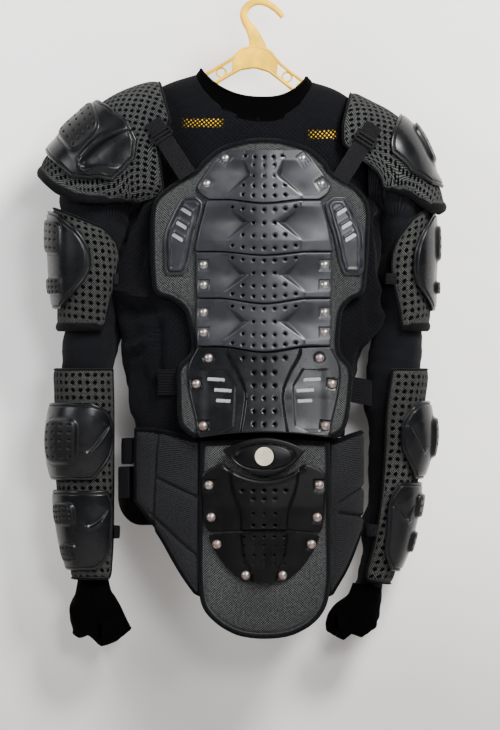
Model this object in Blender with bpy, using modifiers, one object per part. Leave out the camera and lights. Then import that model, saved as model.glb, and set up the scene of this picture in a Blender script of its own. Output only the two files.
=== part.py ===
"""Motorcycle protective vest: an armoured mesh jacket with a kidney belt, hanging on a plastic coat hanger.

Metres, +Z up. The back of the jacket, with its spine plates, faces -Y. The origin is where the hook hangs.
The wearer's left arm is on -X. The jacket hangs a little to +X of the hook, so its pieces are parented to
an empty on its spine line, and all its places below are measured from that line.
"""

import math
from collections import namedtuple

import bmesh
import bpy
from mathutils import Matrix, Vector

VEST = "motorcycle_vest"
HELPERS = "cutters"
ARMS = ("left", "right")
SIDE = {"left": -1, "right": 1}

# ---------------------------------------------------------------- driving dimensions
SPINE_X = 0.007          # the spine line stands this far beside the hook
CLEARANCE = 0.0004       # between pieces that touch
CLOTH = 0.0016           # mesh fabric and stretch fabric
COLLAR_WALL = 0.0022
CUFF_WALL = 0.0018
PAD = 0.0085             # foam pad with its cover, on the arms
BACK_PAD = 0.0105        # foam pad under the spine plates
TAIL_PAD = 0.0105
BACK_Y = -0.0690          # where the back pad and the tail pad lie at the spine
TAIL_Y = -0.0710
BRACE_Y = -0.0735         # the upper end of the shoulder straps
WAIST_BAND_Y = -0.0640
BELT_PAD = 0.0085
SHELL = 0.0030           # moulded plastic of the arm shells
PLATE = 0.0032           # moulded plastic of the spine plates
WEBBING = 0.0018
GAP = 0.0036             # between a pad and the fabric or shell next to it


# ---------------------------------------------------------------- tables
def table(columns, rows):
    """Rows with named columns."""
    row_type = namedtuple("Row", columns)
    return [row_type(*row) for row in rows]


def between(rows, place):
    """The row at a place of a table, on a smooth curve through its rows: 2.5 is half way from row 2 to 3."""
    last = len(rows) - 1
    place = min(max(place, 0.0), float(last))
    i = min(int(place), last - 1)
    f = place - i
    before, first, second, after = (rows[min(max(k, 0), last)] for k in (i - 1, i, i + 1, i + 2))
    values = []
    for a, b, c, d in zip(before, first, second, after):
        curve = (c - a) * f + (2 * a - 5 * b + 4 * c - d) * f * f + (3 * b - 3 * c + d - a) * f ** 3
        values.append(b + curve / 2)
    return type(first)(*values)


# Rings round the body: half widths to each side, heights of the ring's four quarters, and half depths.
BODY = table("left right z_left z_right z_back z_front back front", [
    (0.097, 0.069, -0.097, -0.107, -0.160, -0.205, 0.053, 0.052),
    (0.128, 0.100, -0.1065, -0.1175, -0.180, -0.222, 0.057, 0.056),
    (0.158, 0.130, -0.1210, -0.1370, -0.205, -0.245, 0.060, 0.059),
    (0.176, 0.150, -0.1400, -0.1580, -0.235, -0.268, 0.062, 0.061),
    (0.182, 0.156, -0.215, -0.232, -0.275, -0.300, 0.063, 0.063),
    (0.186, 0.158, -0.295, -0.300, -0.320, -0.335, 0.064, 0.065),
    (0.198, 0.161, -0.360, -0.362, -0.375, -0.380, 0.064, 0.066),
    (0.202, 0.157, -0.420, -0.422, -0.430, -0.430, 0.063, 0.066),
    (0.200, 0.143, -0.480, -0.478, -0.485, -0.485, 0.062, 0.064),
    (0.189, 0.124, -0.535, -0.530, -0.540, -0.540, 0.062, 0.062),
    (0.176, 0.112, -0.600, -0.585, -0.600, -0.600, 0.062, 0.060),
])
# Folds of the body fabric: angle round the body from the spine, heights, reach in degrees, and depth.
FOLDS = table("angle top bottom reach depth", [
    (-74, -0.27, -0.47, 9, 0.005),
    (-98, -0.30, -0.50, 8, -0.010),
    (-62, -0.42, -0.58, 8, -0.008),
    (76, -0.27, -0.50, 9, 0.005),
    (100, -0.27, -0.54, 9, -0.009),
    (150, -0.30, -0.60, 12, 0.008),
    (-150, -0.30, -0.60, 12, 0.008),
    (-125, -0.34, -0.60, 10, -0.007),
    (128, -0.34, -0.60, 10, -0.006),
])
# The collar's rings, from its seam to its rim, in the same columns.
COLLAR = table("left right z_left z_right z_back z_front back front", [
    (0.0955, 0.0675, -0.0960, -0.1060, -0.1585, -0.2035, 0.0520, 0.0510),
    (0.0915, 0.0635, -0.0915, -0.1020, -0.1420, -0.1890, 0.0490, 0.0495),
    (0.0885, 0.0600, -0.0875, -0.0985, -0.1290, -0.1780, 0.0465, 0.0485),
])

# Sections of the arms: the inner and the outer point of an oval, its half depth and the y of its middle.
# Section 0 lies over the body's shoulder; the sleeve starts just short of section 1 and ends at the wrist.
SLEEVE_START = 0.85
SLEEVE_SIDES = 10
ARM = {
    "left": table("inner_x inner_z outer_x outer_z depth y", [
        (-0.096, -0.262, -0.140, -0.1170, 0.058, 0.000),
        (-0.176, -0.286, -0.179, -0.127, 0.058, 0.000),
        (-0.184, -0.289, -0.214, -0.145, 0.058, 0.001),
        (-0.190, -0.293, -0.247, -0.177, 0.058, 0.002),
        (-0.196, -0.297, -0.276, -0.220, 0.057, 0.003),
        (-0.201, -0.311, -0.286, -0.270, 0.055, 0.004),
        (-0.206, -0.340, -0.281, -0.322, 0.052, 0.006),
        (-0.210, -0.385, -0.277, -0.385, 0.050, 0.008),
        (-0.213, -0.430, -0.278, -0.430, 0.048, 0.011),
        (-0.212, -0.490, -0.284, -0.490, 0.046, 0.015),
        (-0.212, -0.560, -0.281, -0.560, 0.044, 0.019),
        (-0.213, -0.620, -0.282, -0.620, 0.041, 0.023),
        (-0.214, -0.690, -0.277, -0.690, 0.037, 0.028),
        (-0.216, -0.750, -0.267, -0.750, 0.033, 0.032),
        (-0.219, -0.785, -0.260, -0.785, 0.028, 0.034),
        (-0.220, -0.812, -0.260, -0.812, 0.025, 0.035),
    ]),
    "right": table("inner_x inner_z outer_x outer_z depth y", [
        (0.082, -0.272, 0.116, -0.1320, 0.058, 0.000),
        (0.153, -0.288, 0.149, -0.1480, 0.057, 0.000),
        (0.159, -0.291, 0.180, -0.1670, 0.056, 0.001),
        (0.164, -0.293, 0.203, -0.190, 0.055, 0.002),
        (0.168, -0.299, 0.219, -0.226, 0.054, 0.003),
        (0.171, -0.312, 0.226, -0.270, 0.053, 0.004),
        (0.172, -0.342, 0.221, -0.325, 0.051, 0.006),
        (0.171, -0.385, 0.217, -0.385, 0.050, 0.008),
        (0.168, -0.430, 0.221, -0.430, 0.048, 0.011),
        (0.160, -0.490, 0.221, -0.490, 0.046, 0.015),
        (0.152, -0.560, 0.213, -0.560, 0.044, 0.019),
        (0.151, -0.620, 0.210, -0.620, 0.041, 0.023),
        (0.149, -0.690, 0.199, -0.692, 0.037, 0.028),
        (0.143, -0.745, 0.184, -0.752, 0.033, 0.032),
        (0.135, -0.782, 0.172, -0.790, 0.028, 0.034),
        (0.127, -0.811, 0.165, -0.818, 0.025, 0.035),
    ]),
}
# Cuffs from the wrist to the hem: the middle, half width, half depth, and how far the hem dips mid-way.
CUFF = {
    "left": table("x z half depth y dip", [
        (-0.2400, -0.8140, 0.0215, 0.0262, 0.035, 0.000),
        (-0.2365, -0.8420, 0.0365, 0.0240, 0.036, 0.000),
        (-0.2320, -0.8640, 0.0410, 0.0200, 0.036, 0.004),
        (-0.2280, -0.8760, 0.0415, 0.0170, 0.036, 0.012),
    ]),
    "right": table("x z half depth y dip", [
        (0.1450, -0.8200, 0.0205, 0.0262, 0.035, 0.000),
        (0.1310, -0.8420, 0.0340, 0.0230, 0.036, 0.000),
        (0.1250, -0.8600, 0.0385, 0.0190, 0.036, 0.002),
        (0.1235, -0.8740, 0.0340, 0.0160, 0.036, 0.008),
    ]),
}
THUMB_SLIT = {"left": (-0.2305, -0.8765), "right": (0.1010, -0.8620)}
THUMB_SLIT_SIZE = (0.0055, 0.0200)

# Armour on the arms: the section it starts and ends at, the columns and rows of its surface.
# facing is the direction of its middle, in degrees from straight back, -Y, towards the arm's outer side.
ARM_PADS = table("name columns rows facing_left facing_right", [
    ("shoulder_pad", 12, 7, 90, 90),
    ("upper_arm_pad", 8, 4, 52, 82),
    ("forearm_pad", 8, 7, 40, 80),
])
PAD_OUTLINE = {
    "upper_arm_pad": table("section wrap", [(5.30, 74), (5.80, 104), (6.50, 114), (7.20, 104), (8.45, 84)]),
    "forearm_pad": table("section wrap", [
        (9.25, 94), (10.00, 96), (11.00, 98), (12.00, 98), (13.00, 98), (14.20, 98), (14.60, 88)]),
}
ARM_SHELLS = table("name pad facing_left facing_right", [
    ("shoulder_shell", "shoulder_pad", 48, 95),
    ("upper_arm_shell", "upper_arm_pad", 78, 96),
    ("elbow_shell", "forearm_pad", 40, 93),
    ("forearm_shell", "forearm_pad", 38, 82),
])
SHELL_OUTLINE = {
    "upper_arm_shell": table("section wrap crown", [
        (5.45, 34, 0.000), (5.80, 66, 0.004), (6.35, 80, 0.006), (7.00, 73, 0.006), (7.88, 32, 0.000)]),
    "elbow_shell": table("section wrap crown", [
        (9.93, 46, 0.000), (10.15, 72, 0.004), (10.60, 84, 0.009), (11.10, 78, 0.009), (11.62, 48, 0.000)]),
    "forearm_shell": table("section wrap crown", [
        (11.82, 70, 0.001), (12.20, 82, 0.004), (12.80, 78, 0.004), (13.50, 70, 0.002),
        (14.15, 44, 0.000)]),
}
# How many sections lower the right arm's shells lie than the left arm's.
SHIFT_RIGHT = {"upper_arm_shell": 0.06, "elbow_shell": -0.04, "forearm_shell": -0.18}
# The shoulder armour's outline by the angle off its facing: the sections where it starts and ends there.
# A pad's table holds for both ways off its facing.
SHOULDER_SPANS = {
    ("shoulder_pad", "left"): table("off start end", [
        (0, 0.05, 4.72), (20, 0.05, 4.78), (45, 0.05, 4.90), (72, 0.08, 4.88), (84, 0.40, 4.74),
        (90, 0.50, 4.66), (110, 0.50, 4.12), (126, 0.50, 3.10), (136, 0.55, 1.80), (141, 0.68, 1.20)]),
    ("shoulder_pad", "right"): table("off start end", [
        (0, 0.05, 5.60), (20, 0.05, 5.62), (45, 0.03, 5.47), (65, 0.02, 5.05), (85, 0.20, 4.42),
        (95, 0.80, 3.95), (105, 1.50, 3.20), (110, 1.85, 2.65)]),
    ("shoulder_shell", "left"): table("off start end", [
        (-57, 1.75, 2.85), (-53, 1.05, 3.16), (-41, 0.95, 3.84), (-23, 1.28, 4.27), (-15, 1.60, 4.25),
        (-7, 1.88, 4.22), (12, 2.20, 4.22), (42, 2.45, 4.12), (60, 2.75, 3.70)]),
    ("shoulder_shell", "right"): table("off start end", [
        (-80, 2.20, 2.75), (-75, 2.05, 3.72), (-68, 2.00, 4.07), (-60, 2.02, 4.33), (-45, 2.12, 4.75),
        (-20, 2.20, 5.05), (0, 2.25, 5.05), (20, 2.20, 4.90), (45, 2.20, 4.40), (62, 2.50, 3.70)]),
}
SHOULDER_CROWN = {"left": 0.004, "right": 0.001}
# How far the shoulder pads stand off the sleeve more than the other pads, by section.
SHOULDER_FLARE = {
    "left": [(0.05, 0.0010), (0.95, 0.0030), (3.00, 0.0050), (3.80, 0.0120), (4.40, 0.0235), (4.90, 0.0320)],
    "right": [(0.05, 0.0010), (0.95, 0.0030), (3.90, 0.0040), (4.60, 0.0060), (5.20, 0.0170), (5.62, 0.0270)],
}
# Raised blocks on the shells: the middle's section, half length in sections, the middle's angle off the
# shell's facing, half angle, and height.
BLOCKS = table("shell side section half_length off wrap height", [
    ("shoulder_shell", "left", 3.10, 0.60, 8, 24, 0.0060),
    ("shoulder_shell", "right", 3.65, 0.72, -2, 28, 0.0060),
    ("upper_arm_shell", "left", 6.07, 0.38, -18, 23, 0.0050),
    ("upper_arm_shell", "left", 7.17, 0.25, -20, 20, 0.0050),
    ("upper_arm_shell", "right", 6.22, 0.37, -8, 20, 0.0050),
    ("upper_arm_shell", "right", 7.20, 0.19, -10, 18, 0.0050),
    ("elbow_shell", "left", 10.79, 0.52, -4, 26, 0.0060),
    ("elbow_shell", "right", 10.72, 0.48, 0, 24, 0.0060),
    ("forearm_shell", "left", 12.33, 0.25, 5, 23, 0.0050),
    ("forearm_shell", "left", 13.42, 0.38, 5, 20, 0.0050),
    ("forearm_shell", "right", 12.10, 0.25, -2, 22, 0.0050),
    ("forearm_shell", "right", 12.92, 0.28, 3, 20, 0.0050),
])
# Elastic bands that close the pads on the arm's inner side.
ARM_BANDS = table("name pad section half_length", [
    ("upper_arm_band", "upper_arm_pad", 6.95, 0.17),
    ("forearm_band", "forearm_pad", 12.75, 0.16),
])

# Ribs across the back pad and the tail pad: half widths, height at the edge and at the spine.
BACK_RIBS = table("left right edge middle", [
    (0.024, 0.024, -0.1890, -0.1875), (0.060, 0.060, -0.2000, -0.2010), (0.084, 0.084, -0.2190, -0.2200),
    (0.097, 0.094, -0.2330, -0.2380), (0.126, 0.121, -0.2500, -0.2600), (0.149, 0.140, -0.2690, -0.2840),
    (0.157, 0.147, -0.2900, -0.3060), (0.158, 0.146, -0.3300, -0.3340), (0.157, 0.143, -0.3760, -0.3700),
    (0.151, 0.138, -0.4030, -0.3880), (0.128, 0.121, -0.4130, -0.4020), (0.112, 0.110, -0.4260, -0.4200),
    (0.105, 0.106, -0.4480, -0.4480), (0.102, 0.106, -0.4830, -0.4800), (0.120, 0.122, -0.5070, -0.5040),
    (0.121, 0.122, -0.5400, -0.5340), (0.119, 0.116, -0.5800, -0.5680), (0.108, 0.108, -0.5960, -0.5840),
    (0.096, 0.094, -0.6040, -0.5920),
])
TAIL_RIBS = table("left right edge middle", [
    (0.0880, 0.0910, -0.6090, -0.6060), (0.0900, 0.0920, -0.6600, -0.6600),
    (0.0915, 0.0925, -0.7300, -0.7350), (0.0915, 0.0925, -0.8000, -0.8100),
    (0.0860, 0.0860, -0.8380, -0.8470), (0.0660, 0.0680, -0.8620, -0.8680),
    (0.0400, 0.0420, -0.8770, -0.8800), (0.0180, 0.0200, -0.8820, -0.8830),
])
# Ribs of the hard plates; waist is the half width of the raised centre there.
PLATES = {
    "spine_plate_1": table("half edge middle waist", [
        (0.0500, -0.2045, -0.2045, 0.030), (0.0640, -0.2130, -0.2150, 0.024),
        (0.0900, -0.2500, -0.2480, 0.020), (0.0900, -0.2630, -0.2650, 0.030),
        (0.0770, -0.2730, -0.2780, 0.034)]),
    "spine_plate_2": table("half edge middle waist", [
        (0.0800, -0.2745, -0.2795, 0.052), (0.0850, -0.2960, -0.2980, 0.030),
        (0.0890, -0.3100, -0.3130, 0.020), (0.0930, -0.3280, -0.3320, 0.030),
        (0.0960, -0.3450, -0.3500, 0.052)]),
    "spine_plate_3": table("half edge middle waist", [
        (0.0940, -0.3464, -0.3514, 0.052), (0.0945, -0.3620, -0.3670, 0.030),
        (0.0945, -0.3760, -0.3820, 0.020), (0.0940, -0.3930, -0.4000, 0.030),
        (0.0930, -0.4095, -0.4170, 0.052)]),
    "spine_plate_4": table("half edge middle waist", [
        (0.0935, -0.4110, -0.4184, 0.052), (0.0940, -0.4260, -0.4330, 0.030),
        (0.0940, -0.4410, -0.4480, 0.020), (0.0935, -0.4590, -0.4660, 0.030),
        (0.0930, -0.4760, -0.4840, 0.052)]),
    "spine_plate_5": table("half edge middle waist", [
        (0.0925, -0.4774, -0.4854, 0.048), (0.1060, -0.5060, -0.5080, 0.034),
        (0.1040, -0.5400, -0.5360, 0.024), (0.0960, -0.5750, -0.5660, 0.026),
        (0.0910, -0.6030, -0.5960, 0.030)]),
    "tail_plate_1": table("half edge middle waist", [
        (0.0600, -0.6390, -0.6620, 0.044), (0.0840, -0.6520, -0.6720, 0.040),
        (0.0860, -0.6700, -0.6850, 0.034), (0.0815, -0.7250, -0.7200, 0.030),
        (0.0730, -0.7335, -0.7305, 0.030)]),
    "tail_plate_2": table("half edge middle waist", [
        (0.0760, -0.7375, -0.7345, 0.030), (0.0740, -0.7500, -0.7480, 0.028),
        (0.0540, -0.7810, -0.7820, 0.026), (0.0340, -0.7990, -0.8010, 0.016),
        (0.0300, -0.8010, -0.8030, 0.014)]),
}
PLATE_GAP = 0.0012       # between a plate and its pad
PLATE_RAISE = 0.0034     # how far the plates' raised centre stands over their sides
PLATE_SLOPE = 0.014      # width of the slope between them
# Rows of vent holes: plate, height, number of holes, distance between them.
VENTS = table("plate z count pitch", [
    ("spine_plate_1", -0.2150, 5, 0.0128), ("spine_plate_1", -0.2265, 3, 0.0143),
    ("spine_plate_1", -0.2405, 3, 0.0143), ("spine_plate_1", -0.2550, 5, 0.0143),
    ("spine_plate_1", -0.2685, 5, 0.0146),
    ("spine_plate_2", -0.2880, 7, 0.0146), ("spine_plate_2", -0.3060, 3, 0.0146),
    ("spine_plate_2", -0.3240, 5, 0.0146), ("spine_plate_2", -0.3410, 7, 0.0146),
    ("spine_plate_3", -0.3580, 7, 0.0146), ("spine_plate_3", -0.3755, 3, 0.0146),
    ("spine_plate_3", -0.3935, 5, 0.0146), ("spine_plate_3", -0.4080, 7, 0.0146),
    ("spine_plate_4", -0.4250, 7, 0.0146), ("spine_plate_4", -0.4430, 3, 0.0146),
    ("spine_plate_4", -0.4610, 5, 0.0146), ("spine_plate_4", -0.4760, 7, 0.0146),
    ("spine_plate_5", -0.4945, 5, 0.0144), ("spine_plate_5", -0.5135, 3, 0.0144),
    ("spine_plate_5", -0.5315, 3, 0.0144), ("spine_plate_5", -0.5490, 3, 0.0144),
    ("spine_plate_5", -0.5670, 3, 0.0144), ("spine_plate_5", -0.5850, 3, 0.0144),
    ("tail_plate_1", -0.6760, 5, 0.0150), ("tail_plate_1", -0.6880, 3, 0.0150),
    ("tail_plate_1", -0.7070, 3, 0.0150),
])
VENT_DIP = 0.0040        # the outer holes of a row of seven stand this much higher than the middle one
VENT_RADIUS = 0.0023
VENT_SIDES = 4
# Rivets in pairs on either side of the spine.
RIVETS = table("plate x z", [
    ("spine_plate_1", 0.0535, -0.2165), ("spine_plate_1", 0.0795, -0.2520),
    ("spine_plate_3", 0.0840, -0.3640), ("spine_plate_3", 0.0840, -0.3920),
    ("spine_plate_4", 0.0840, -0.4300), ("spine_plate_4", 0.0840, -0.4580),
    ("spine_plate_5", 0.0770, -0.4930), ("spine_plate_5", 0.0940, -0.5290),
    ("spine_plate_5", 0.0845, -0.5870),
    ("tail_plate_1", 0.0765, -0.6690), ("tail_plate_1", 0.0735, -0.7135),
    ("tail_plate_2", 0.0655, -0.7510), ("tail_plate_2", 0.0255, -0.7940),
])
RIVET_RADIUS = 0.0058
RIVET_TOP = 0.0032
RIVET_HEIGHT = 0.0034
RIVET_SIDES = 5

# Kidney belt: its loop round the body, then the edges of the wings at rows along it.
BELT_LEFT = 0.1960
BELT_RIGHT = 0.1330
BELT_BACK = 0.0690
BELT_FRONT = 0.0700
WINGS = {
    "left": table("x top bottom", [
        (0.0935, -0.6060, -0.8260), (0.1140, -0.6000, -0.7980), (0.1400, -0.5930, -0.7520),
        (0.1640, -0.5900, -0.7150), (0.1810, -0.5900, -0.6930)]),
    "right": table("x top bottom", [
        (0.0945, -0.6080, -0.8260), (0.1050, -0.6050, -0.8080), (0.1170, -0.6000, -0.7860),
        (0.1300, -0.5960, -0.7540), (0.1390, -0.5940, -0.7260)]),
}
# Elastic straps round the front: their edges, how far the lower edge drops there, and their stand-off.
BELT_STRAPS = table("name top bottom drop stand_off", [
    ("belt_strap_upper", -0.6050, -0.6410, 0.0, 0.0020),
    ("belt_strap_lower", -0.6450, -0.6880, 0.040, 0.0070)])

# Shoulder blade plates: ribs with their inner and outer edge, then the slots through them.
BLADE_RIBS = table("inner outer z", [
    (0.0950, 0.1120, -0.2690), (0.0850, 0.1190, -0.2790), (0.0880, 0.1290, -0.2980),
    (0.0960, 0.1385, -0.3230), (0.1020, 0.1390, -0.3520), (0.1070, 0.1385, -0.3700),
    (0.1120, 0.1340, -0.3780),
])
BLADE_SLOTS = table("x z", [(0.1080, -0.2890), (0.1145, -0.3080), (0.1195, -0.3250)])
BLADE_SLOT = (0.0150, 0.0042, math.radians(58))
WAIST_SLOTS = table("x z length", [
    (0.0665, -0.5225, 0.024), (0.0570, -0.5375, 0.024), (0.0565, -0.5520, 0.020)])
WAIST_SLOT_TALL = 0.0050

# Lens plate over the joint of back and tail, with an oval boss and a plain disc on it.
LENS_HALF = 0.0570
LENS_TOP = -0.6030
LENS_TIPS = -0.6200
LENS_BOTTOM = -0.6540
BOSS_HALF = 0.0400
BOSS_TALL = 0.0170
BOSS_Z = -0.6290
BOSS_RAISE = 0.0030
BADGE_BASE = 0.0231      # the lens plate's underside over TAIL_Y
DISC_RADIUS = 0.0130
DISC_THICK = 0.0016

# Webbing from the shoulder pads to the back pad: upper and lower end, and where the slide sits on it.
STRAP_WIDTH = 0.025
BRACES = {
    "left": ((-0.1550, -0.1640), (-0.1060, -0.2400)),
    "right": ((0.1530, -0.1700), (0.1050, -0.2460)),
}
BRACE_SLIDE = 0.26
SLIDE_SIZE = (0.033, 0.014, 0.0036)
WAIST_BAND_TALL = 0.036
WAIST_BANDS = table("side start end z drop", [
    ("left", -0.104, -0.148, -0.5270, 0.0), ("right", 0.104, 0.150, -0.5330, 0.009)])
ZIP_WIDTH = 0.026

# Hanger, in its own upright frame below the point it hangs from.
HANGER_TILT = math.radians(4.0)
HANGER_THICK = 0.0070
HOOK_RADIUS = 0.0235
HOOK_WIRE = 0.0040
HOOK_SIDE = 0.0035
STEM_FOOT = -0.0620
HANGER_ARM = table("x top bottom", [
    (0.000, -0.0560, -0.0870), (0.018, -0.0600, -0.0900), (0.034, -0.0770, -0.1000),
    (0.060, -0.0945, -0.1180), (0.075, -0.1050, -0.1260), (0.100, -0.1185, -0.1380),
    (0.130, -0.1350, -0.1520), (0.142, -0.1420, -0.1580),
])
HANGER_SLOTS = table("start end inset", [
    (0.042, 0.068, 0.0042), (0.076, 0.104, 0.0042), (0.112, 0.134, 0.0042)])
TROUSER_BAR_Z = -0.1800
TROUSER_BAR_X = 0.1350
TROUSER_BAR_WIRE = 0.0032


# ---------------------------------------------------------------- surfaces
def power(value, exponent):
    """A power that keeps the sign, for rounded-square rings."""
    return math.copysign(abs(value) ** exponent, value)


def step(value, low, high):
    """0 below low, 1 above high, smooth between."""
    t = min(max((value - low) / (high - low), 0.0), 1.0)
    return t * t * (3 - 2 * t)


def ring_point(row, angle, lift=0.0, squareness=0.86):
    """A point of a ring round the body: angle 0 is the spine, 90 degrees is +X, 180 the front."""
    sine, cosine = math.sin(angle), math.cos(angle)
    side = row.right if sine >= 0 else row.left
    depth = row.back if cosine >= 0 else row.front
    side_z = row.z_right if sine >= 0 else row.z_left
    middle_z = row.z_back if cosine >= 0 else row.z_front
    return Vector((
        (side + lift) * power(sine, squareness),
        -(depth + lift) * power(cosine, squareness),
        side_z + (middle_z - side_z) * abs(cosine) ** 1.6,
    ))


def fold_depth(angle, z):
    """How far the body fabric stands out, or in, because of its folds."""
    total = 0.0
    for fold in FOLDS:
        off = (math.degrees(angle) - fold.angle + 180) % 360 - 180
        down = (fold.top - z) / (fold.top - fold.bottom)
        if 0 < down < 1:
            total += fold.depth * math.sin(math.pi * down) * math.exp(-((off / fold.reach) ** 2))
    return total


def body_point(angle, place):
    """A point of the body fabric, with its folds."""
    row = between(BODY, place)
    bare = ring_point(row, angle)
    return ring_point(row, angle, fold_depth(angle, bare.z))


def back_surface(x, z, lift=0.0):
    """A point lift outside the surface that the back pad lies on: it bows round the body, follows the neck
    at the top, is hollow at the waist and steps out over the belt at the bottom."""
    lean = 0.10 * max(z + 0.270, 0.0)
    hollow = 0.004 * math.sin(math.pi * min(max((-z - 0.33) / 0.22, 0.0), 1.0))
    over_belt = 0.0120 * step(-z, 0.525, 0.605)
    y = BACK_Y + lean + hollow - over_belt + 0.60 * x * x
    return Vector((x, y - lift, z))


def tail_surface(x, z, lift=0.0):
    """A point lift outside the surface that the tail pad lies on."""
    swing = 0.09 * max(-z - 0.700, 0.0)
    return Vector((x, TAIL_Y + swing + 0.55 * x * x - lift, z))


def arm_point(side, section, angle, lift=0.0):
    """A point lift outside a sleeve. angle is in degrees from straight back towards the arm's outer side."""
    row = between(ARM[side], section)
    inner = Vector((row.inner_x, row.y, row.inner_z))
    outer = Vector((row.outer_x, row.y, row.outer_z))
    half = (outer - inner).length / 2
    outward = (outer - inner).normalized()
    sine, cosine = math.sin(math.radians(angle)), math.cos(math.radians(angle))
    point = (inner + outer) / 2 + outward * (half + lift) * power(sine, 0.9)
    return point + Vector((0, -1, 0)) * (row.depth + lift) * power(cosine, 0.9)


def facing(entry, side):
    return entry.facing_left if side == "left" else entry.facing_right


def read_off(pairs, at):
    """The value at a place, on straight lines between pairs of a place and a value."""
    for (low, first), (high, second) in zip(pairs, pairs[1:]):
        if at <= high:
            return first + (second - first) * max((at - low) / (high - low), 0.0)
    return pairs[-1][1]


def pad_lift(pad, side, section, angle):
    """How far a pad's inner side stands off the sleeve: its flare is widest where the pad faces."""
    if pad != "shoulder_pad":
        return GAP
    return GAP + read_off(SHOULDER_FLARE[side], section) * max(math.cos(math.radians(angle - 90)), 0.3)


def belt_point(angle, z, lift=0.0):
    """A point lift outside the belt's loop; the lower it is, the closer it hangs to the body."""
    row = namedtuple("Loop", "left right z_left z_right z_back z_front back front")(
        BELT_LEFT, BELT_RIGHT, z, z, z, z, BELT_BACK, BELT_FRONT)
    return ring_point(row, angle, lift, 0.80) + Vector((0, 0.09 * max(-z - 0.700, 0.0), 0))


def belt_angle(side, x):
    """The angle round the belt at which its back stands x beside the spine."""
    half = BELT_LEFT if side == "left" else BELT_RIGHT
    return SIDE[side] * math.asin(min(x / (half + BELT_PAD / 2), 1.0) ** (1 / 0.80))


# ---------------------------------------------------------------- building
def clear_scene():
    for obj in list(bpy.data.objects):
        bpy.data.objects.remove(obj, do_unlink=True)


def new_collection(name):
    made = bpy.data.collections.new(name)
    bpy.context.scene.collection.children.link(made)
    return made


def new_material(name, colour, roughness, metallic=0.0):
    made = bpy.data.materials.new(name)
    made.use_nodes = True
    shader = made.node_tree.nodes["Principled BSDF"]
    shader.inputs["Base Color"].default_value = (*colour, 1)
    shader.inputs["Roughness"].default_value = roughness
    shader.inputs["Metallic"].default_value = metallic
    return made


def object_from(name, bm, material, parent):
    """A smooth-shaded object of a bmesh, in the vest's collection."""
    bmesh.ops.recalc_face_normals(bm, faces=bm.faces)
    mesh = bpy.data.meshes.new(name)
    bm.to_mesh(mesh)
    bm.free()
    made = bpy.data.objects.new(name, mesh)
    bpy.data.collections[VEST].objects.link(made)
    made.parent = parent
    mesh.materials.append(material)
    mesh.shade_smooth()
    mesh.set_sharp_from_angle(angle=math.radians(40))
    return made


def mapped_grid(columns, rows, place):
    """A grid whose corners are where place(u, v) puts them, with u and v from 0 to 1."""
    bm = bmesh.new()
    bmesh.ops.create_grid(bm, x_segments=columns, y_segments=rows, size=0.5)
    for vertex in bm.verts:
        vertex.co = place(vertex.co.x + 0.5, vertex.co.y + 0.5)
    return bm


def tube(name, columns, rows, place, wall, material, parent):
    """A tube of cloth open at both ends, whose outer side is place(u, v), with u round the tube."""
    bm = mapped_grid(columns, rows, place)
    bmesh.ops.remove_doubles(bm, verts=bm.verts, dist=1e-5)
    made = object_from(name, bm, material, parent)
    modifier = made.modifiers.new("wall", "SOLIDIFY")
    modifier.thickness = wall
    modifier.offset = -1.0
    return made


def panel(name, columns, rows, place, low, high, material, parent):
    """A closed panel between the surfaces place(u, v, low) and place(u, v, high(u, v)), joined at its rim."""
    bm = mapped_grid(columns, rows, lambda u, v: place(u, v, low(u, v)))
    upper = mapped_grid(columns, rows, lambda u, v: place(u, v, high(u, v)))
    mesh = bpy.data.meshes.new("upper_side")
    upper.to_mesh(mesh)
    upper.free()
    count = len(bm.verts)
    bm.from_mesh(mesh)
    bpy.data.meshes.remove(mesh)
    bm.verts.ensure_lookup_table()
    bm.verts.index_update()
    rim = [edge for edge in bm.edges if edge.is_boundary and edge.verts[0].index < count]
    for edge in rim:
        a, b = (vertex.index for vertex in edge.verts)
        bm.faces.new([bm.verts[i] for i in (a, b, b + count, a + count)])
    return object_from(name, bm, material, parent)


def boolean(obj, operation, other):
    modifier = obj.modifiers.new(operation.lower(), "BOOLEAN")
    modifier.operation = operation
    modifier.object = other


def helper(obj):
    """Makes an object a cutter or a joined shape, which is no sub-part of its own."""
    bpy.data.collections[VEST].objects.unlink(obj)
    bpy.data.collections[HELPERS].objects.link(obj)
    obj.hide_render = True
    obj.display_type = "WIRE"
    return obj


def join_shapes(name, shapes, material, parent):
    """One helper mesh that holds a list of closed shapes, each a bmesh, which don't touch."""
    joined = bmesh.new()
    for shape in shapes:
        mesh = bpy.data.meshes.new("shape")
        shape.to_mesh(mesh)
        shape.free()
        joined.from_mesh(mesh)
        bpy.data.meshes.remove(mesh)
    return helper(object_from(name, joined, material, parent))


def peg(sides, bottom_radius, top_radius, start, end, turn=0.0):
    """A closed peg from start to end, two points, as a bmesh."""
    shape = bmesh.new()
    bmesh.ops.create_cone(shape, cap_ends=True, segments=sides, radius1=bottom_radius, radius2=top_radius,
                          depth=(end - start).length)
    along = (end - start).to_track_quat("Z", "Y").to_matrix().to_4x4()
    place = Matrix.Translation((start + end) / 2) @ along @ Matrix.Rotation(turn, 4, "Z")
    bmesh.ops.transform(shape, matrix=place, verts=shape.verts)
    return shape


def block(size, place):
    """A closed box of a size, put at a place given by a matrix, as a bmesh."""
    shape = bmesh.new()
    bmesh.ops.create_cube(shape, size=1.0)
    bmesh.ops.transform(shape, matrix=place @ Matrix.Diagonal((*size, 1)), verts=shape.verts)
    return shape


# ---------------------------------------------------------------- cloth
def body_place(u, v):
    return body_point((u - 0.5) * 2 * math.pi, v * (len(BODY) - 1))


def sleeve_section(row):
    """The arm's section at a row of the sleeve: row 0 is the sleeve's start, row 1 is section 1."""
    return row if row >= 1 else SLEEVE_START + (1 - SLEEVE_START) * row


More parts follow.
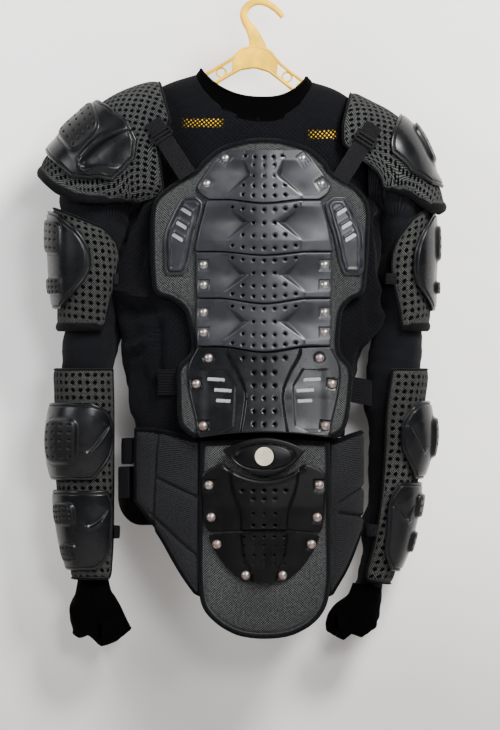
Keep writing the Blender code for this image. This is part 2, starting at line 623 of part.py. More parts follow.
def sleeve_place(side, u, v, lift=0.0):
    return arm_point(side, sleeve_section(v * (len(ARM[side]) - 1)), u * 360, lift)


def make_body(material, parent):
    body = tube("body", 20, 10, body_place, CLOTH, material, parent)
    for side in ARMS:
        boolean(body, "DIFFERENCE", armhole_cutter(side, material, parent))


def armhole_cutter(side, material, parent):
    """The room that a sleeve and the armour over it take out of the body fabric."""
    sections = 6

    def place(u, v):
        angle = u * 360
        open_side = step(math.sin(math.radians(angle)), -0.95, -0.2)
        section = sleeve_section(v * sections) if v > 0 else SLEEVE_START - 0.05
        return arm_point(side, section, angle, 3 * CLEARANCE + 0.030 * open_side)

    bm = mapped_grid(SLEEVE_SIDES, sections, place)
    bmesh.ops.remove_doubles(bm, verts=bm.verts, dist=1e-5)
    bmesh.ops.holes_fill(bm, edges=bm.edges)
    return helper(object_from(f"armhole_{side}", bm, material, parent))


def make_sleeves(material, parent):
    for side in ARMS:
        tube(f"sleeve_{side}", SLEEVE_SIDES, len(ARM[side]) - 1, lambda u, v: sleeve_place(side, u, v),
             CLOTH, material, parent)


def make_collar(material, parent):
    def place(u, v):
        return ring_point(between(COLLAR, v * (len(COLLAR) - 1)), (u - 0.5) * 2 * math.pi)

    tube("collar", 20, 2, place, COLLAR_WALL, material, parent)


def make_cuffs(material, parent):
    for side in ARMS:
        rows = CUFF[side]

        def place(u, v):
            row = between(rows, v * (len(rows) - 1))
            sine, cosine = math.sin(u * 2 * math.pi), math.cos(u * 2 * math.pi)
            return Vector((row.x + row.half * power(sine, 0.85), row.y - row.depth * power(cosine, 0.85),
                           row.z - row.dip * (1 - sine * sine)))

        cuff = tube(f"cuff_{side}", 12, 3, place, CUFF_WALL, material, parent)
        x, z = THUMB_SLIT[side]
        width, height = THUMB_SLIT_SIZE
        slit = block((width, 0.06, height), Matrix.Translation((x, rows[-1].y - 0.03, z)))
        boolean(cuff, "DIFFERENCE", join_shapes(f"thumb_slit_{side}", [slit], material, parent))


def make_zip(material, parent):
    """The front is closed by a zip under a plain facing."""
    def place(u, v, lift):
        row = between(BODY, 0.35 + v * 9.4)
        angle = math.pi + (u - 0.5) * ZIP_WIDTH / row.front
        bare = ring_point(row, angle)
        return ring_point(row, angle, fold_depth(angle, bare.z) + lift)

    panel("front_zip", 2, 10, place, lambda u, v: 0.0015, lambda u, v: 0.0040, material, parent)


# ---------------------------------------------------------------- armour on the arms
def shift_down(entry, side):
    """How many sections lower a piece of armour lies than its outline's table says."""
    return SHIFT_RIGHT.get(entry.name, 0.0) if side == "right" else 0.0


def outline_spot(entry, side, u, v):
    """The section and the angle of a pad's or a shell's point u, v."""
    direction = facing(entry, side)
    if (entry.name, side) in SHOULDER_SPANS:
        rows = SHOULDER_SPANS[entry.name, side]
        last = rows[-1].off
        first = -last if rows[0].off == 0 else rows[0].off
        off = first + (last - first) * u
        at = abs(off) if rows[0].off == 0 else off
        start = read_off([(row.off, row.start) for row in rows], at)
        end = read_off([(row.off, row.end) for row in rows], at)
        return start + (end - start) * v, direction + off
    rows = PAD_OUTLINE.get(entry.name) or SHELL_OUTLINE[entry.name]
    row = between(rows, v * (len(rows) - 1))
    return row.section + shift_down(entry, side), direction + (u * 2 - 1) * row.wrap


def make_arm_pads(material, parent):
    for entry in ARM_PADS:
        for side in ARMS:
            def low(u, v):
                return pad_lift(entry.name, side, *outline_spot(entry, side, u, v))

            def place(u, v, lift):
                return arm_point(side, *outline_spot(entry, side, u, v), lift)

            panel(f"{entry.name}_{side}", entry.columns, entry.rows, place, low,
                  lambda u, v: low(u, v) + PAD, material, parent)


def shell_lift(entry, side, section, angle):
    """How far a shell's inner side stands off the sleeve at a section and an angle."""
    if entry.name == "shoulder_shell":
        rows = SHOULDER_SPANS[entry.name, side]
        low, high, crown = min(row.start for row in rows), max(row.end for row in rows), SHOULDER_CROWN[side]
    else:
        rows = SHELL_OUTLINE[entry.name]
        low, high, crown = rows[0].section, rows[-1].section, max(row.crown for row in rows)
        section -= shift_down(entry, side)
    along = min(max((section - low) / (high - low), 0.0), 1.0)
    off = min(abs(angle - facing(entry, side)) / 90, 1.0)
    crown *= math.sin(math.pi * along) ** 0.6 * (1 - off * off)
    return pad_lift(entry.pad, side, section, angle) + PAD + GAP + crown


def make_arm_shells(material, parent):
    for entry in ARM_SHELLS:
        for side in ARMS:
            def low(u, v):
                return shell_lift(entry, side, *outline_spot(entry, side, u, v))

            def place(u, v, lift):
                return arm_point(side, *outline_spot(entry, side, u, v), lift)

            shell = panel(f"{entry.name}_{side}", 7, 5, place, low, lambda u, v: low(u, v) + SHELL,
                          material, parent)
            for number, raised in enumerate(BLOCKS):
                if (raised.shell, raised.side) == (entry.name, side):
                    name = f"raised_block_{number}_{side}"
                    boolean(shell, "UNION", raised_block(name, raised, entry, side, material, parent))


def raised_block(name, raised, entry, side, material, parent):
    """A block that stands up from a shell, with sloping sides."""
    direction = facing(entry, side) + raised.off

    def place(u, v, lift):
        slope = 1.0 if lift < 0 else 0.80
        section = raised.section + (v * 2 - 1) * raised.half_length * slope
        angle = direction + (u * 2 - 1) * raised.wrap * slope
        return arm_point(side, section, angle, shell_lift(entry, side, section, angle) + SHELL + lift)

    return helper(panel(name, 3, 3, place, lambda u, v: -SHELL * 0.75, lambda u, v: raised.height,
                        material, parent))


def make_arm_bands(material, parent):
    for entry in ARM_BANDS:
        pad = next(row for row in ARM_PADS if row.name == entry.pad)
        rows = PAD_OUTLINE[entry.pad]
        for side in ARMS:
            direction = facing(pad, side)
            wrap = min(row.wrap for row in rows if abs(row.section - entry.section) < 1.0)
            start, end = direction + wrap - 8, direction + 360 - wrap + 8

            def low(u, v):
                over_pad = 1 - step(min(u, 1 - u) * (end - start), 22, 52)
                return GAP / 2 + (PAD + GAP) * over_pad

            def place(u, v, lift):
                section = entry.section + (v * 2 - 1) * entry.half_length
                return arm_point(side, section, start + (end - start) * u, lift)

            panel(f"{entry.name}_{side}", 12, 1, place, low, lambda u, v: low(u, v) + WEBBING * 0.7,
                  material, parent)


# ---------------------------------------------------------------- back and tail
def rib_point(rows, u, v):
    """Where a ribbed outline has its point u, v: x from its left to its right, z bowed between."""
    row = between(rows, v * (len(rows) - 1))
    across = u * 2 - 1
    half = getattr(row, "half", None) or (row.right if across > 0 else row.left)
    return half * across, row.middle + (row.edge - row.middle) * across * across, row


def rounded_edge(u, v, thickness):
    """A pad's thickness, less near its rim."""
    rim = min(min(u, 1 - u) * 8, min(v, 1 - v) * 14, 1.0)
    return thickness * (0.62 + 0.38 * math.sin(rim * math.pi / 2))


def make_back_pads(material, parent):
    def back_place(u, v, lift):
        x, z, _ = rib_point(BACK_RIBS, u, v)
        return back_surface(x, z, lift)

    def tail_place(u, v, lift):
        x, z, _ = rib_point(TAIL_RIBS, u, v)
        return tail_surface(x, z, lift)

    panel("back_pad", 8, 16, back_place, lambda u, v: 0.0, lambda u, v: rounded_edge(u, v, BACK_PAD),
          material, parent)
    panel("tail_pad", 8, 7, tail_place, lambda u, v: 0.0, lambda u, v: rounded_edge(u, v, TAIL_PAD),
          material, parent)


def plate_surface(name):
    return tail_surface if name.startswith("tail") else back_surface


def plate_base(name):
    """How far a plate's underside stands off the surface that its pad lies on."""
    thickness = TAIL_PAD if name.startswith("tail") else BACK_PAD
    return thickness + PLATE_GAP


def plate_raise(name, x, z):
    """The height of a plate's raised centre over its sides at a place."""
    rows = PLATES[name]
    top, bottom = rows[0].middle, rows[-1].middle
    share = min(max((top - z) / (top - bottom), 0.0), 1.0)
    waist = between(rows, share * (len(rows) - 1)).waist
    return PLATE_RAISE * (1 - step(abs(x), waist, waist + PLATE_SLOPE))


def make_plates(material, parent):
    for name, rows in PLATES.items():
        surface, base = plate_surface(name), plate_base(name)

        def place(u, v, lift):
            x, z, _ = rib_point(rows, u, v)
            return surface(x, z, lift)

        def high(u, v):
            x, z, _ = rib_point(rows, u, v)
            return base + PLATE + plate_raise(name, x, z)

        plate = panel(name, 8, 4, place, lambda u, v: base, high, material, parent)
        rivets = [rivet(name, sign * row.x, row.z) for row in RIVETS if row.plate == name for sign in (-1, 1)]
        if rivets:
            boolean(plate, "UNION", join_shapes(f"rivets_{name}", rivets, material, parent))
        vents = [vent(name, row, number) for row in VENTS if row.plate == name for number in range(row.count)]
        if vents:
            boolean(plate, "DIFFERENCE", join_shapes(f"vents_{name}", vents, material, parent))
        if name == "spine_plate_5":
            slots = [waist_slot(row, sign) for row in WAIST_SLOTS for sign in (-1, 1)]
            boolean(plate, "DIFFERENCE", join_shapes("waist_slots", slots, material, parent))


def rivet(name, x, z):
    """A domed rivet head, sunk a little into its plate."""
    surface = plate_surface(name)
    foot = surface(x, z, plate_base(name) + PLATE * 0.4)
    top = surface(x, z, plate_base(name) + PLATE + RIVET_HEIGHT)
    return peg(RIVET_SIDES, RIVET_RADIUS, RIVET_TOP, foot, top)


def vent(name, row, number):
    """The cutter of one vent hole."""
    offset = number - (row.count - 1) / 2
    x = offset * row.pitch
    z = row.z + VENT_DIP * (offset / 3) ** 2
    surface = plate_surface(name)
    start = surface(x, z, plate_base(name) - 0.004)
    end = surface(x, z, plate_base(name) + PLATE + PLATE_RAISE + 0.004)
    return peg(VENT_SIDES, VENT_RADIUS, VENT_RADIUS, start, end)


def waist_slot(row, sign):
    middle = back_surface(sign * row.x, row.z, plate_base("spine_plate_5"))
    return block((row.length, 0.03, WAIST_SLOT_TALL), Matrix.Translation(middle))


def make_blade_plates(material, parent):
    """Plates over the shoulder blades, each with three slanted slots."""
    for side in ARMS:
        def place(u, v, lift):
            row = between(BLADE_RIBS, v * (len(BLADE_RIBS) - 1))
            x = SIDE[side] * (row.inner + (row.outer - row.inner) * u)
            return back_surface(x, row.z, lift)

        def high(u, v):
            rim = min(min(u, 1 - u) * 4, min(v, 1 - v) * 6, 1.0)
            return BACK_PAD + CLEARANCE + PLATE * (0.7 + 0.6 * rim)

        plate = panel(f"blade_plate_{side}", 4, 7, place, lambda u, v: BACK_PAD + CLEARANCE, high,
                      material, parent)
        length, width, slant = BLADE_SLOT
        slots = []
        for row in BLADE_SLOTS:
            middle = back_surface(SIDE[side] * row.x, row.z, BACK_PAD)
            turn = Matrix.Rotation(SIDE[side] * (slant - math.pi / 2), 4, "Y")
            slots.append(block((length, 0.03, width), Matrix.Translation(middle) @ turn))
        boolean(plate, "DIFFERENCE", join_shapes(f"blade_slots_{side}", slots, material, parent))


def make_badge(plate_material, disc_material, parent):
    """A lens plate with an oval boss, and a plain disc on it."""
    def place(u, v, lift):
        across = u * 2 - 1
        top = LENS_TIPS + (LENS_TOP - LENS_TIPS) * (1 - across * across)
        bottom = LENS_TIPS + (LENS_BOTTOM - LENS_TIPS) * (1 - across * across) - 0.0015
        x, z = LENS_HALF * across, top + (bottom - top) * v
        return Vector((x, TAIL_Y + 0.60 * x * x - lift, z))

    def high(u, v):
        x, y, z = place(u, v, 0.0)
        inside = (x / BOSS_HALF) ** 2 + ((z - BOSS_Z) / BOSS_TALL) ** 2
        return BADGE_BASE + PLATE + BOSS_RAISE * (1 - step(inside, 0.75, 1.15))

    panel("lumbar_badge", 10, 4, place, lambda u, v: BADGE_BASE, high, plate_material, parent)
    front = place(0.5, 0.5, BADGE_BASE + PLATE + BOSS_RAISE + CLEARANCE)
    disc = peg(16, DISC_RADIUS, DISC_RADIUS * 0.92, Vector((0, front.y, BOSS_Z)),
               Vector((0, front.y - DISC_THICK, BOSS_Z)))
    object_from("badge_disc", disc, disc_material, parent)


# ---------------------------------------------------------------- belt
def make_wings(material, parent):
    for side in ARMS:
        rows = WINGS[side]

        def place(u, v, lift):
            row = between(rows, u * (len(rows) - 1))
            return belt_point(belt_angle(side, row.x), row.top + (row.bottom - row.top) * v, lift)

        panel(f"belt_wing_{side}", 6, 5, place, lambda u, v: 0.0, lambda u, v: rounded_edge(u, v, BELT_PAD),
              material, parent)


def make_belt_straps(material, parent):
    start = belt_angle("left", WINGS["left"][-1].x) - math.radians(3)
    end = belt_angle("right", WINGS["right"][-1].x) + math.radians(3) - 2 * math.pi
    for entry in BELT_STRAPS:
        def place(u, v, lift):
            drop = entry.drop * step(u, 0.06, 0.30) * step(1 - u, 0.06, 0.30)
            z = entry.top + (entry.bottom - drop - entry.top) * v
            return belt_point(start + (end - start) * u, z, entry.stand_off * (1 - u) + lift)

        panel(entry.name, 18, 1, place, lambda u, v: 0.0, lambda u, v: WEBBING, material, parent)


def make_waist_bands(material, parent):
    for entry in WAIST_BANDS:
        def place(u, v, lift):
            x = entry.start + (entry.end - entry.start) * u
            z = entry.z - WAIST_BAND_TALL * (v - 0.5) - entry.drop * u
            half = BELT_LEFT - 0.012 if entry.side == "left" else BELT_RIGHT + 0.022
            bow = 1 - math.sqrt(max(1 - (abs(x) / half) ** 2.6, 0.0))
            return Vector((x, WAIST_BAND_Y + 0.055 * bow - lift, z))

        panel(f"waist_band_{entry.side}", 6, 1, place, lambda u, v: 0.0, lambda u, v: WEBBING,
              material, parent)


# ---------------------------------------------------------------- braces
def brace_frame(side):
    """A brace's upper and lower end, and the direction across it."""
    (top_x, top_z), (foot_x, foot_z) = BRACES[side]
    top = Vector((top_x, BRACE_Y, top_z))
    foot = Vector((foot_x, back_surface(foot_x, foot_z, BACK_PAD + CLEARANCE).y, foot_z))
    across = (foot - top).cross(Vector((0, -1, 0))).normalized()
    return top, foot, across


def make_braces(material, slide_material, parent):
    for side in ARMS:
        top, foot, across = brace_frame(side)

        def place(u, v, lift):
            return top.lerp(foot, v) + across * STRAP_WIDTH * (u - 0.5) + Vector((0, -lift, 0))

        panel(f"shoulder_strap_{side}", 1, 4, place, lambda u, v: 0.0, lambda u, v: WEBBING, material, parent)
        width, height, thick = SLIDE_SIZE
        middle = top.lerp(foot, BRACE_SLIDE) + Vector((0, -WEBBING - CLEARANCE - thick / 2, 0))
        down = (foot - top).normalized()
        turn = Matrix((across, down.cross(across), down)).transposed().to_4x4()
        frame = block((width, thick, height), Matrix.Translation(middle) @ turn)
        slide = object_from(f"strap_slide_{side}", frame, slide_material, parent)
        slots = [block((width - 0.008, 0.02, 0.0035), Matrix.Translation(middle + down * shift) @ turn)
                 for shift in (-0.0032, 0.0032)]
        boolean(slide, "DIFFERENCE", join_shapes(f"slide_slots_{side}", slots, slide_material, parent))


# ---------------------------------------------------------------- hanger
def mesh_of_curve(curve_object):
    """A closed mesh of a curve, with its caps welded."""
    bpy.context.view_layer.update()
    graph = bpy.context.evaluated_depsgraph_get()
    mesh = bpy.data.meshes.new_from_object(curve_object.evaluated_get(graph))
    bm = bmesh.new()
    bm.from_mesh(mesh)
    bpy.data.meshes.remove(mesh)
    bmesh.ops.remove_doubles(bm, verts=bm.verts, dist=1e-6)
    bpy.data.objects.remove(curve_object, do_unlink=True)
    return bm


def curve_object(splines, flat):
    """A curve object of lists of points: flat outlines for a plate, or the run of a wire."""
    curve = bpy.data.curves.new("curve", "CURVE")
    curve.dimensions = "2D" if flat else "3D"
    for points in splines:
        spline = curve.splines.new("POLY")
        spline.points.add(len(points) - 1)
        spline.use_cyclic_u = flat
        for point, (x, y, z) in zip(spline.points, points):
            point.co = (x, y, z, 1)
    made = bpy.data.objects.new("curve", curve)
    bpy.data.collections[HELPERS].objects.link(made)
    return made


def wire_mesh(points, radius, resolution):
    made = curve_object([points], flat=False)
    made.data.bevel_depth = radius
    made.data.bevel_resolution = resolution
    made.data.use_fill_caps = True
    return mesh_of_curve(made)


def hanger_edge(x, edge):
    """The height of the hanger arms' top or bottom edge at a distance from the middle."""
    for a, b in zip(HANGER_ARM, HANGER_ARM[1:]):
        if abs(x) <= b.x:
            share = (abs(x) - a.x) / (b.x - a.x)
            return getattr(a, edge) + (getattr(b, edge) - getattr(a, edge)) * share
    return getattr(HANGER_ARM[-1], edge)


def hanger_plate():
    """The hanger's arms, a flat plate with windows, standing in the plane of X and Z."""
    rows = [(-row.x, row) for row in reversed(HANGER_ARM[1:])] + [(row.x, row) for row in HANGER_ARM]
    outline = [(x, row.top, 0) for x, row in rows] + [(x, row.bottom, 0) for x, row in reversed(rows)]
    windows = []
    for slot in HANGER_SLOTS:
        for sign in (-1, 1):
            corners = [(slot.start, "top", -1), (slot.end, "top", -1),
                       (slot.end, "bottom", 1), (slot.start, "bottom", 1)]
            windows.append([(sign * x, hanger_edge(x, edge) + way * slot.inset, 0)
                            for x, edge, way in corners])
    made = curve_object([outline] + windows, flat=True)
    made.data.fill_mode = "BOTH"
    made.data.extrude = HANGER_THICK / 2
    bm = mesh_of_curve(made)
    bmesh.ops.rotate(bm, matrix=Matrix.Rotation(math.pi / 2, 3, "X"), verts=bm.verts)
    return bm


def make_hanger(material):
    pivot = bpy.data.objects.new("hook_point", None)
    bpy.context.scene.collection.objects.link(pivot)
    pivot.rotation_euler = (0, HANGER_TILT, 0)
    hanger = object_from("hanger", hanger_plate(), material, pivot)
    centre = Vector((HOOK_SIDE, 0, HOOK_WIRE - HOOK_RADIUS))
    hook = [centre + Vector((math.cos(a), 0, math.sin(a))) * HOOK_RADIUS
            for a in (math.radians(-20 + 20 * i) for i in range(12))]
    hook += [Vector((-0.004, 0, -0.044)), Vector((0, 0, STEM_FOOT))]
    hook_mesh = helper(object_from("hook", wire_mesh(hook, HOOK_WIRE, 1), material, pivot))
    boolean(hanger, "UNION", hook_mesh)
    drop = HANGER_ARM[-1].bottom
    end = HANGER_ARM[-1].x - 0.006
    bar = [Vector((-end, 0, drop + 0.004)), Vector((-TROUSER_BAR_X, 0, TROUSER_BAR_Z)),
           Vector((TROUSER_BAR_X, 0, TROUSER_BAR_Z)), Vector((end, 0, drop + 0.004))]
    bar_mesh = helper(object_from("trouser_bar", wire_mesh(bar, TROUSER_BAR_WIRE, 1), material, pivot))
    boolean(hanger, "UNION", bar_mesh)


# ---------------------------------------------------------------- the vest
def main():
    clear_scene()
    new_collection(VEST)
    new_collection(HELPERS).hide_render = True
    spine = bpy.data.objects.new("spine_line", None)
    bpy.context.scene.collection.objects.link(spine)
    spine.location = (SPINE_X, 0, 0)

    knit = new_material("knit_mesh", (0.012, 0.013, 0.017), 0.9)
    stretch = new_material("stretch_cloth", (0.010, 0.010, 0.012), 0.85)
    air_mesh = new_material("air_mesh", (0.045, 0.045, 0.045), 0.9)
    back_cloth = new_material("back_cloth", (0.075, 0.075, 0.07), 0.9)
    belt_cloth = new_material("belt_cloth", (0.022, 0.023, 0.024), 0.85)
    armour = new_material("armour_plastic", (0.030, 0.033, 0.038), 0.38)
    webbing = new_material("webbing", (0.02, 0.02, 0.022), 0.8)
    slide = new_material("slide_plastic", (0.02, 0.02, 0.022), 0.35)
    zip_cloth = new_material("zip_facing", (0.012, 0.012, 0.014), 0.8)
    cream = new_material("badge_disc", (0.70, 0.68, 0.60), 0.45)
    hanger = new_material("hanger_plastic", (0.86, 0.62, 0.18), 0.42)

    make_body(knit, spine)
    make_sleeves(stretch, spine)
    make_collar(stretch, spine)
    make_cuffs(stretch, spine)
    make_zip(zip_cloth, spine)
    make_arm_pads(air_mesh, spine)
    make_arm_shells(armour, spine)
    make_arm_bands(webbing, spine)
    make_back_pads(back_cloth, spine)
    make_plates(armour, spine)
    make_blade_plates(armour, spine)
    make_badge(armour, cream, spine)
    make_wings(belt_cloth, spine)
    make_belt_straps(webbing, spine)
    make_waist_bands(webbing, spine)
    make_braces(webbing, slide, spine)
    make_hanger(hanger)


main()
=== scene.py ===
"""The looks of the armoured motorcycle jacket on its hanger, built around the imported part.

Metres, +Z up, the jacket's back faces -Y. Places in the tables are measured from the jacket's spine line,
which stands SPINE_X beside the hook. Left is the wearer's left, on -X.
"""

import math
from collections import namedtuple

import bmesh
import bpy
import numpy as np
from mathutils import Matrix, Vector, noise


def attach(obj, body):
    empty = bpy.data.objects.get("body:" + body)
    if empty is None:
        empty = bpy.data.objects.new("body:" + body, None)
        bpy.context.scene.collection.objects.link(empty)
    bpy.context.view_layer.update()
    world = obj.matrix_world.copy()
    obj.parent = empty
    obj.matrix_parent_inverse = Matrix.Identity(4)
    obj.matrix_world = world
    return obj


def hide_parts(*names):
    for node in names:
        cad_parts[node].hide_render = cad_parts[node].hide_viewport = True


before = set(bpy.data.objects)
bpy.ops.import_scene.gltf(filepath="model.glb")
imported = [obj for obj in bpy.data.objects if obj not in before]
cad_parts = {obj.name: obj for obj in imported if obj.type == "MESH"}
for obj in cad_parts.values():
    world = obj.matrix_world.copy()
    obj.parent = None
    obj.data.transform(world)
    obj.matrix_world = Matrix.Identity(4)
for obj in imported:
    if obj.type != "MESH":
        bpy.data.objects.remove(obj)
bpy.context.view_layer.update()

ARMS = ("left", "right")
SIDE = {"left": -1, "right": 1}

# ---------------------------------------------------------------- driving dimensions
SPINE_X = 0.007  # the spine line stands this far beside the hook
CLEARANCE = 0.0004  # between pieces that touch
COLLAR_WALL = 0.0022
CUFF_WALL = 0.0018
PAD = 0.0085  # foam pad with its cover, on the arms
BACK_PAD = 0.0105  # foam pad under the spine plates
TAIL_PAD = 0.0105
BACK_Y = -0.069  # where the back pad and the tail pad lie at the spine
TAIL_Y = -0.071
BRACE_Y = -0.0735  # the upper end of the shoulder straps
WAIST_BAND_Y = -0.064
BELT_PAD = 0.0085
SHELL = 0.003  # moulded plastic of the arm shells
PLATE = 0.0032  # moulded plastic of the spine plates
WEBBING = 0.0018
GAP = 0.0036  # between a pad and the fabric or shell next to it
CLOTH_WALL = 0.0012
BODY_HEM = 0.016  # how far the body's hem goes down behind the belt
BACK_LEAN = 0.1  # how much the back leans towards the shoulders, by height
BACK_LEAN_Z = -0.27  # where that starts
HOLLOW = 0.004  # of the small of the back
BELT_RISE = 0.012  # how far the back pad's foot lies out on the belt
TAIL_LEAN = 0.09  # how much the tail and the belt's foot lean in, by height
TAIL_LEAN_Z = -0.7  # where that starts
BACK_BOW = 0.6  # how much the pads curve round the back, by half width squared
TAIL_BOW = 0.55

# How square rings are: 1 is an oval, and less is fuller at the corners.
BODY_SQUARENESS = 0.86
ARM_SQUARENESS = 0.9
BELT_SQUARENESS = 0.8
CUFF_SQUARENESS = 0.85

# Grids: the cells of the plates in metres, the points along a line, and how near to a hole's outline, in
# cells, a point moves onto it.
PLATE_CELL = 0.00126
BLADE_CELL = 0.0012
LINE_POINTS = 60
SNAP = 0.6

# Painted shade: the colour of the floor of a groove, and of what lies behind an eyelet or under a vent hole.
GROOVE_SHADE = (0.0003, 0.0003, 0.0003)
SHADE_BEHIND_HOLES = (0.0006, 0.0006, 0.0006)


# ---------------------------------------------------------------- tables
def table(columns, rows):
    """Rows with named columns."""
    row_type = namedtuple("Row", columns)
    return [row_type(*row) for row in rows]


def lengths(columns, rows):
    """Rows with named columns, written in millimetres and kept in metres."""
    return table(columns, [[value / 1000 for value in row] for row in rows])


def by_plate(columns, groups):
    """Rows with named columns, given plate by plate."""
    return table("plate " + columns, [(plate, *row) for plate, rows in groups.items() for row in rows])


# Rings round the body: half widths to each side, heights of the ring's four quarters, and half depths.
BODY = lengths("left right z_left z_right z_back z_front back front", [
    (97, 69, -97, -107, -160, -205, 53, 52),
    (128, 100, -106.5, -117.5, -180, -222, 57, 56),
    (158, 130, -121, -137, -205, -245, 60, 59),
    (176, 150, -140, -158, -235, -268, 62, 61),
    (182, 156, -215, -232, -275, -300, 63, 63),
    (186, 158, -295, -300, -320, -335, 64, 65),
    (198, 161, -360, -362, -375, -380, 64, 66),
    (202, 157, -420, -422, -430, -430, 63, 66),
    (200, 143, -480, -478, -485, -485, 62, 64),
    (189, 124, -535, -530, -540, -540, 62, 62),
    (176, 112, -600, -585, -600, -600, 62, 60),
])
# Folds of the body fabric: angle round the body from the spine, heights, reach in degrees, and depth.
FOLDS = table("angle top bottom reach depth", [
    (-74, -0.27, -0.47, 9, 0.005),
    (-98, -0.3, -0.5, 8, -0.01),
    (-62, -0.42, -0.58, 8, -0.008),
    (76, -0.27, -0.5, 9, 0.005),
    (100, -0.27, -0.54, 9, -0.009),
    (150, -0.3, -0.6, 12, 0.008),
    (-150, -0.3, -0.6, 12, 0.008),
    (-125, -0.34, -0.6, 10, -0.007),
    (128, -0.34, -0.6, 10, -0.006),
])
# The collar's rings, from its seam to its rim, in the same columns.
COLLAR = lengths("left right z_left z_right z_back z_front back front", [
    (95.5, 67.5, -96, -106, -158.5, -203.5, 52, 51),
    (91.5, 63.5, -91.5, -102, -142, -189, 49, 49.5),
    (88.5, 60, -87.5, -98.5, -129, -178, 46.5, 48.5),
])

# Sections of the arms: the inner and the outer point of an oval, its half depth and the y of its middle.
# Section 0 lies over the body's shoulder; the sleeve starts just short of section 1 and ends at the wrist.
SLEEVE_START = 0.85
ARM = {
    "left": lengths("inner_x inner_z outer_x outer_z depth y", [
        (-96, -262, -140, -117, 58, 0), (-176, -286, -179, -127, 58, 0),
        (-184, -289, -214, -145, 58, 1), (-190, -293, -247, -177, 58, 2),
        (-196, -297, -276, -220, 57, 3), (-201, -311, -286, -270, 55, 4),
        (-206, -340, -281, -322, 52, 6), (-210, -385, -277, -385, 50, 8),
        (-213, -430, -278, -430, 48, 11), (-212, -490, -284, -490, 46, 15),
        (-212, -560, -281, -560, 44, 19), (-213, -620, -282, -620, 41, 23),
        (-214, -690, -277, -690, 37, 28), (-216, -750, -267, -750, 33, 32),
        (-219, -785, -260, -785, 28, 34), (-220, -812, -260, -812, 25, 35),
    ]),
    "right": lengths("inner_x inner_z outer_x outer_z depth y", [
        (82, -272, 116, -132, 58, 0), (153, -288, 149, -148, 57, 0),
        (159, -291, 180, -167, 56, 1), (164, -293, 203, -190, 55, 2),
        (168, -299, 219, -226, 54, 3), (171, -312, 226, -270, 53, 4),
        (172, -342, 221, -325, 51, 6), (171, -385, 217, -385, 50, 8),
        (168, -430, 221, -430, 48, 11), (160, -490, 221, -490, 46, 15),
        (152, -560, 213, -560, 44, 19), (151, -620, 210, -620, 41, 23),
        (149, -690, 199, -692, 37, 28), (143, -745, 184, -752, 33, 32),
        (135, -782, 172, -790, 28, 34), (127, -811, 165, -818, 25, 35),
    ]),
}
# Cuffs from the wrist to the hem: the middle, half width, half depth, and how far the hem dips mid-way.
CUFF = {
    "left": lengths("x z half depth y dip", [
        (-240, -814, 21.5, 26.2, 35, 0),
        (-236.5, -842, 36.5, 24, 36, 0),
        (-232, -864, 41, 20, 36, 4),
        (-228, -876, 41.5, 17, 36, 12),
    ]),
    "right": lengths("x z half depth y dip", [
        (145, -820, 20.5, 26.2, 35, 0),
        (131, -842, 34, 23, 36, 0),
        (125, -860, 38.5, 19, 36, 2),
        (123.5, -874, 34, 16, 36, 8),
    ]),
}
THUMB_SLIT = {"left": (-0.2305, -0.8765), "right": (0.101, -0.862)}
THUMB_SLIT_SIZE = (0.0055, 0.06, 0.02)

# Armour on the arms: the columns and rows of its surface, and facing, the direction of its middle in
# degrees from straight back, -Y, towards the arm's outer side.
ARM_PADS = table("name columns rows facing_left facing_right", [
    ("shoulder_pad", 110, 76, 90, 90),
    ("upper_arm_pad", 76, 50, 52, 82),
    ("forearm_pad", 64, 104, 40, 80),
])
PAD_OUTLINE = {
    "upper_arm_pad": table("section wrap", [(5.3, 74), (5.8, 104), (6.5, 114), (7.2, 104), (8.45, 84)]),
    "forearm_pad": table("section wrap", [
        (9.25, 94), (10, 96), (11, 98), (12, 98), (13, 98), (14.2, 98), (14.6, 88)]),
}
ARM_SHELLS = table("name pad columns rows facing_left facing_right", [
    ("shoulder_shell", "shoulder_pad", 160, 124, 48, 95),
    ("upper_arm_shell", "upper_arm_pad", 104, 112, 78, 96),
    ("elbow_shell", "forearm_pad", 124, 106, 40, 93),
    ("forearm_shell", "forearm_pad", 110, 118, 38, 82),
])
SHELL_OUTLINE = {
    "upper_arm_shell": table("section wrap crown", [
        (5.45, 34, 0), (5.8, 66, 0.004), (6.35, 80, 0.006), (7, 73, 0.006), (7.88, 32, 0)]),
    "elbow_shell": table("section wrap crown", [
        (9.93, 46, 0), (10.15, 72, 0.004), (10.6, 84, 0.009), (11.1, 78, 0.009), (11.62, 48, 0)]),
    "forearm_shell": table("section wrap crown", [
        (11.82, 70, 0.001), (12.2, 82, 0.004), (12.8, 78, 0.004), (13.5, 70, 0.002),
        (14.15, 44, 0)]),
}
# How many sections lower the right arm's shells lie than the left arm's.
SHIFT_RIGHT = {"upper_arm_shell": 0.06, "elbow_shell": -0.04, "forearm_shell": -0.18}
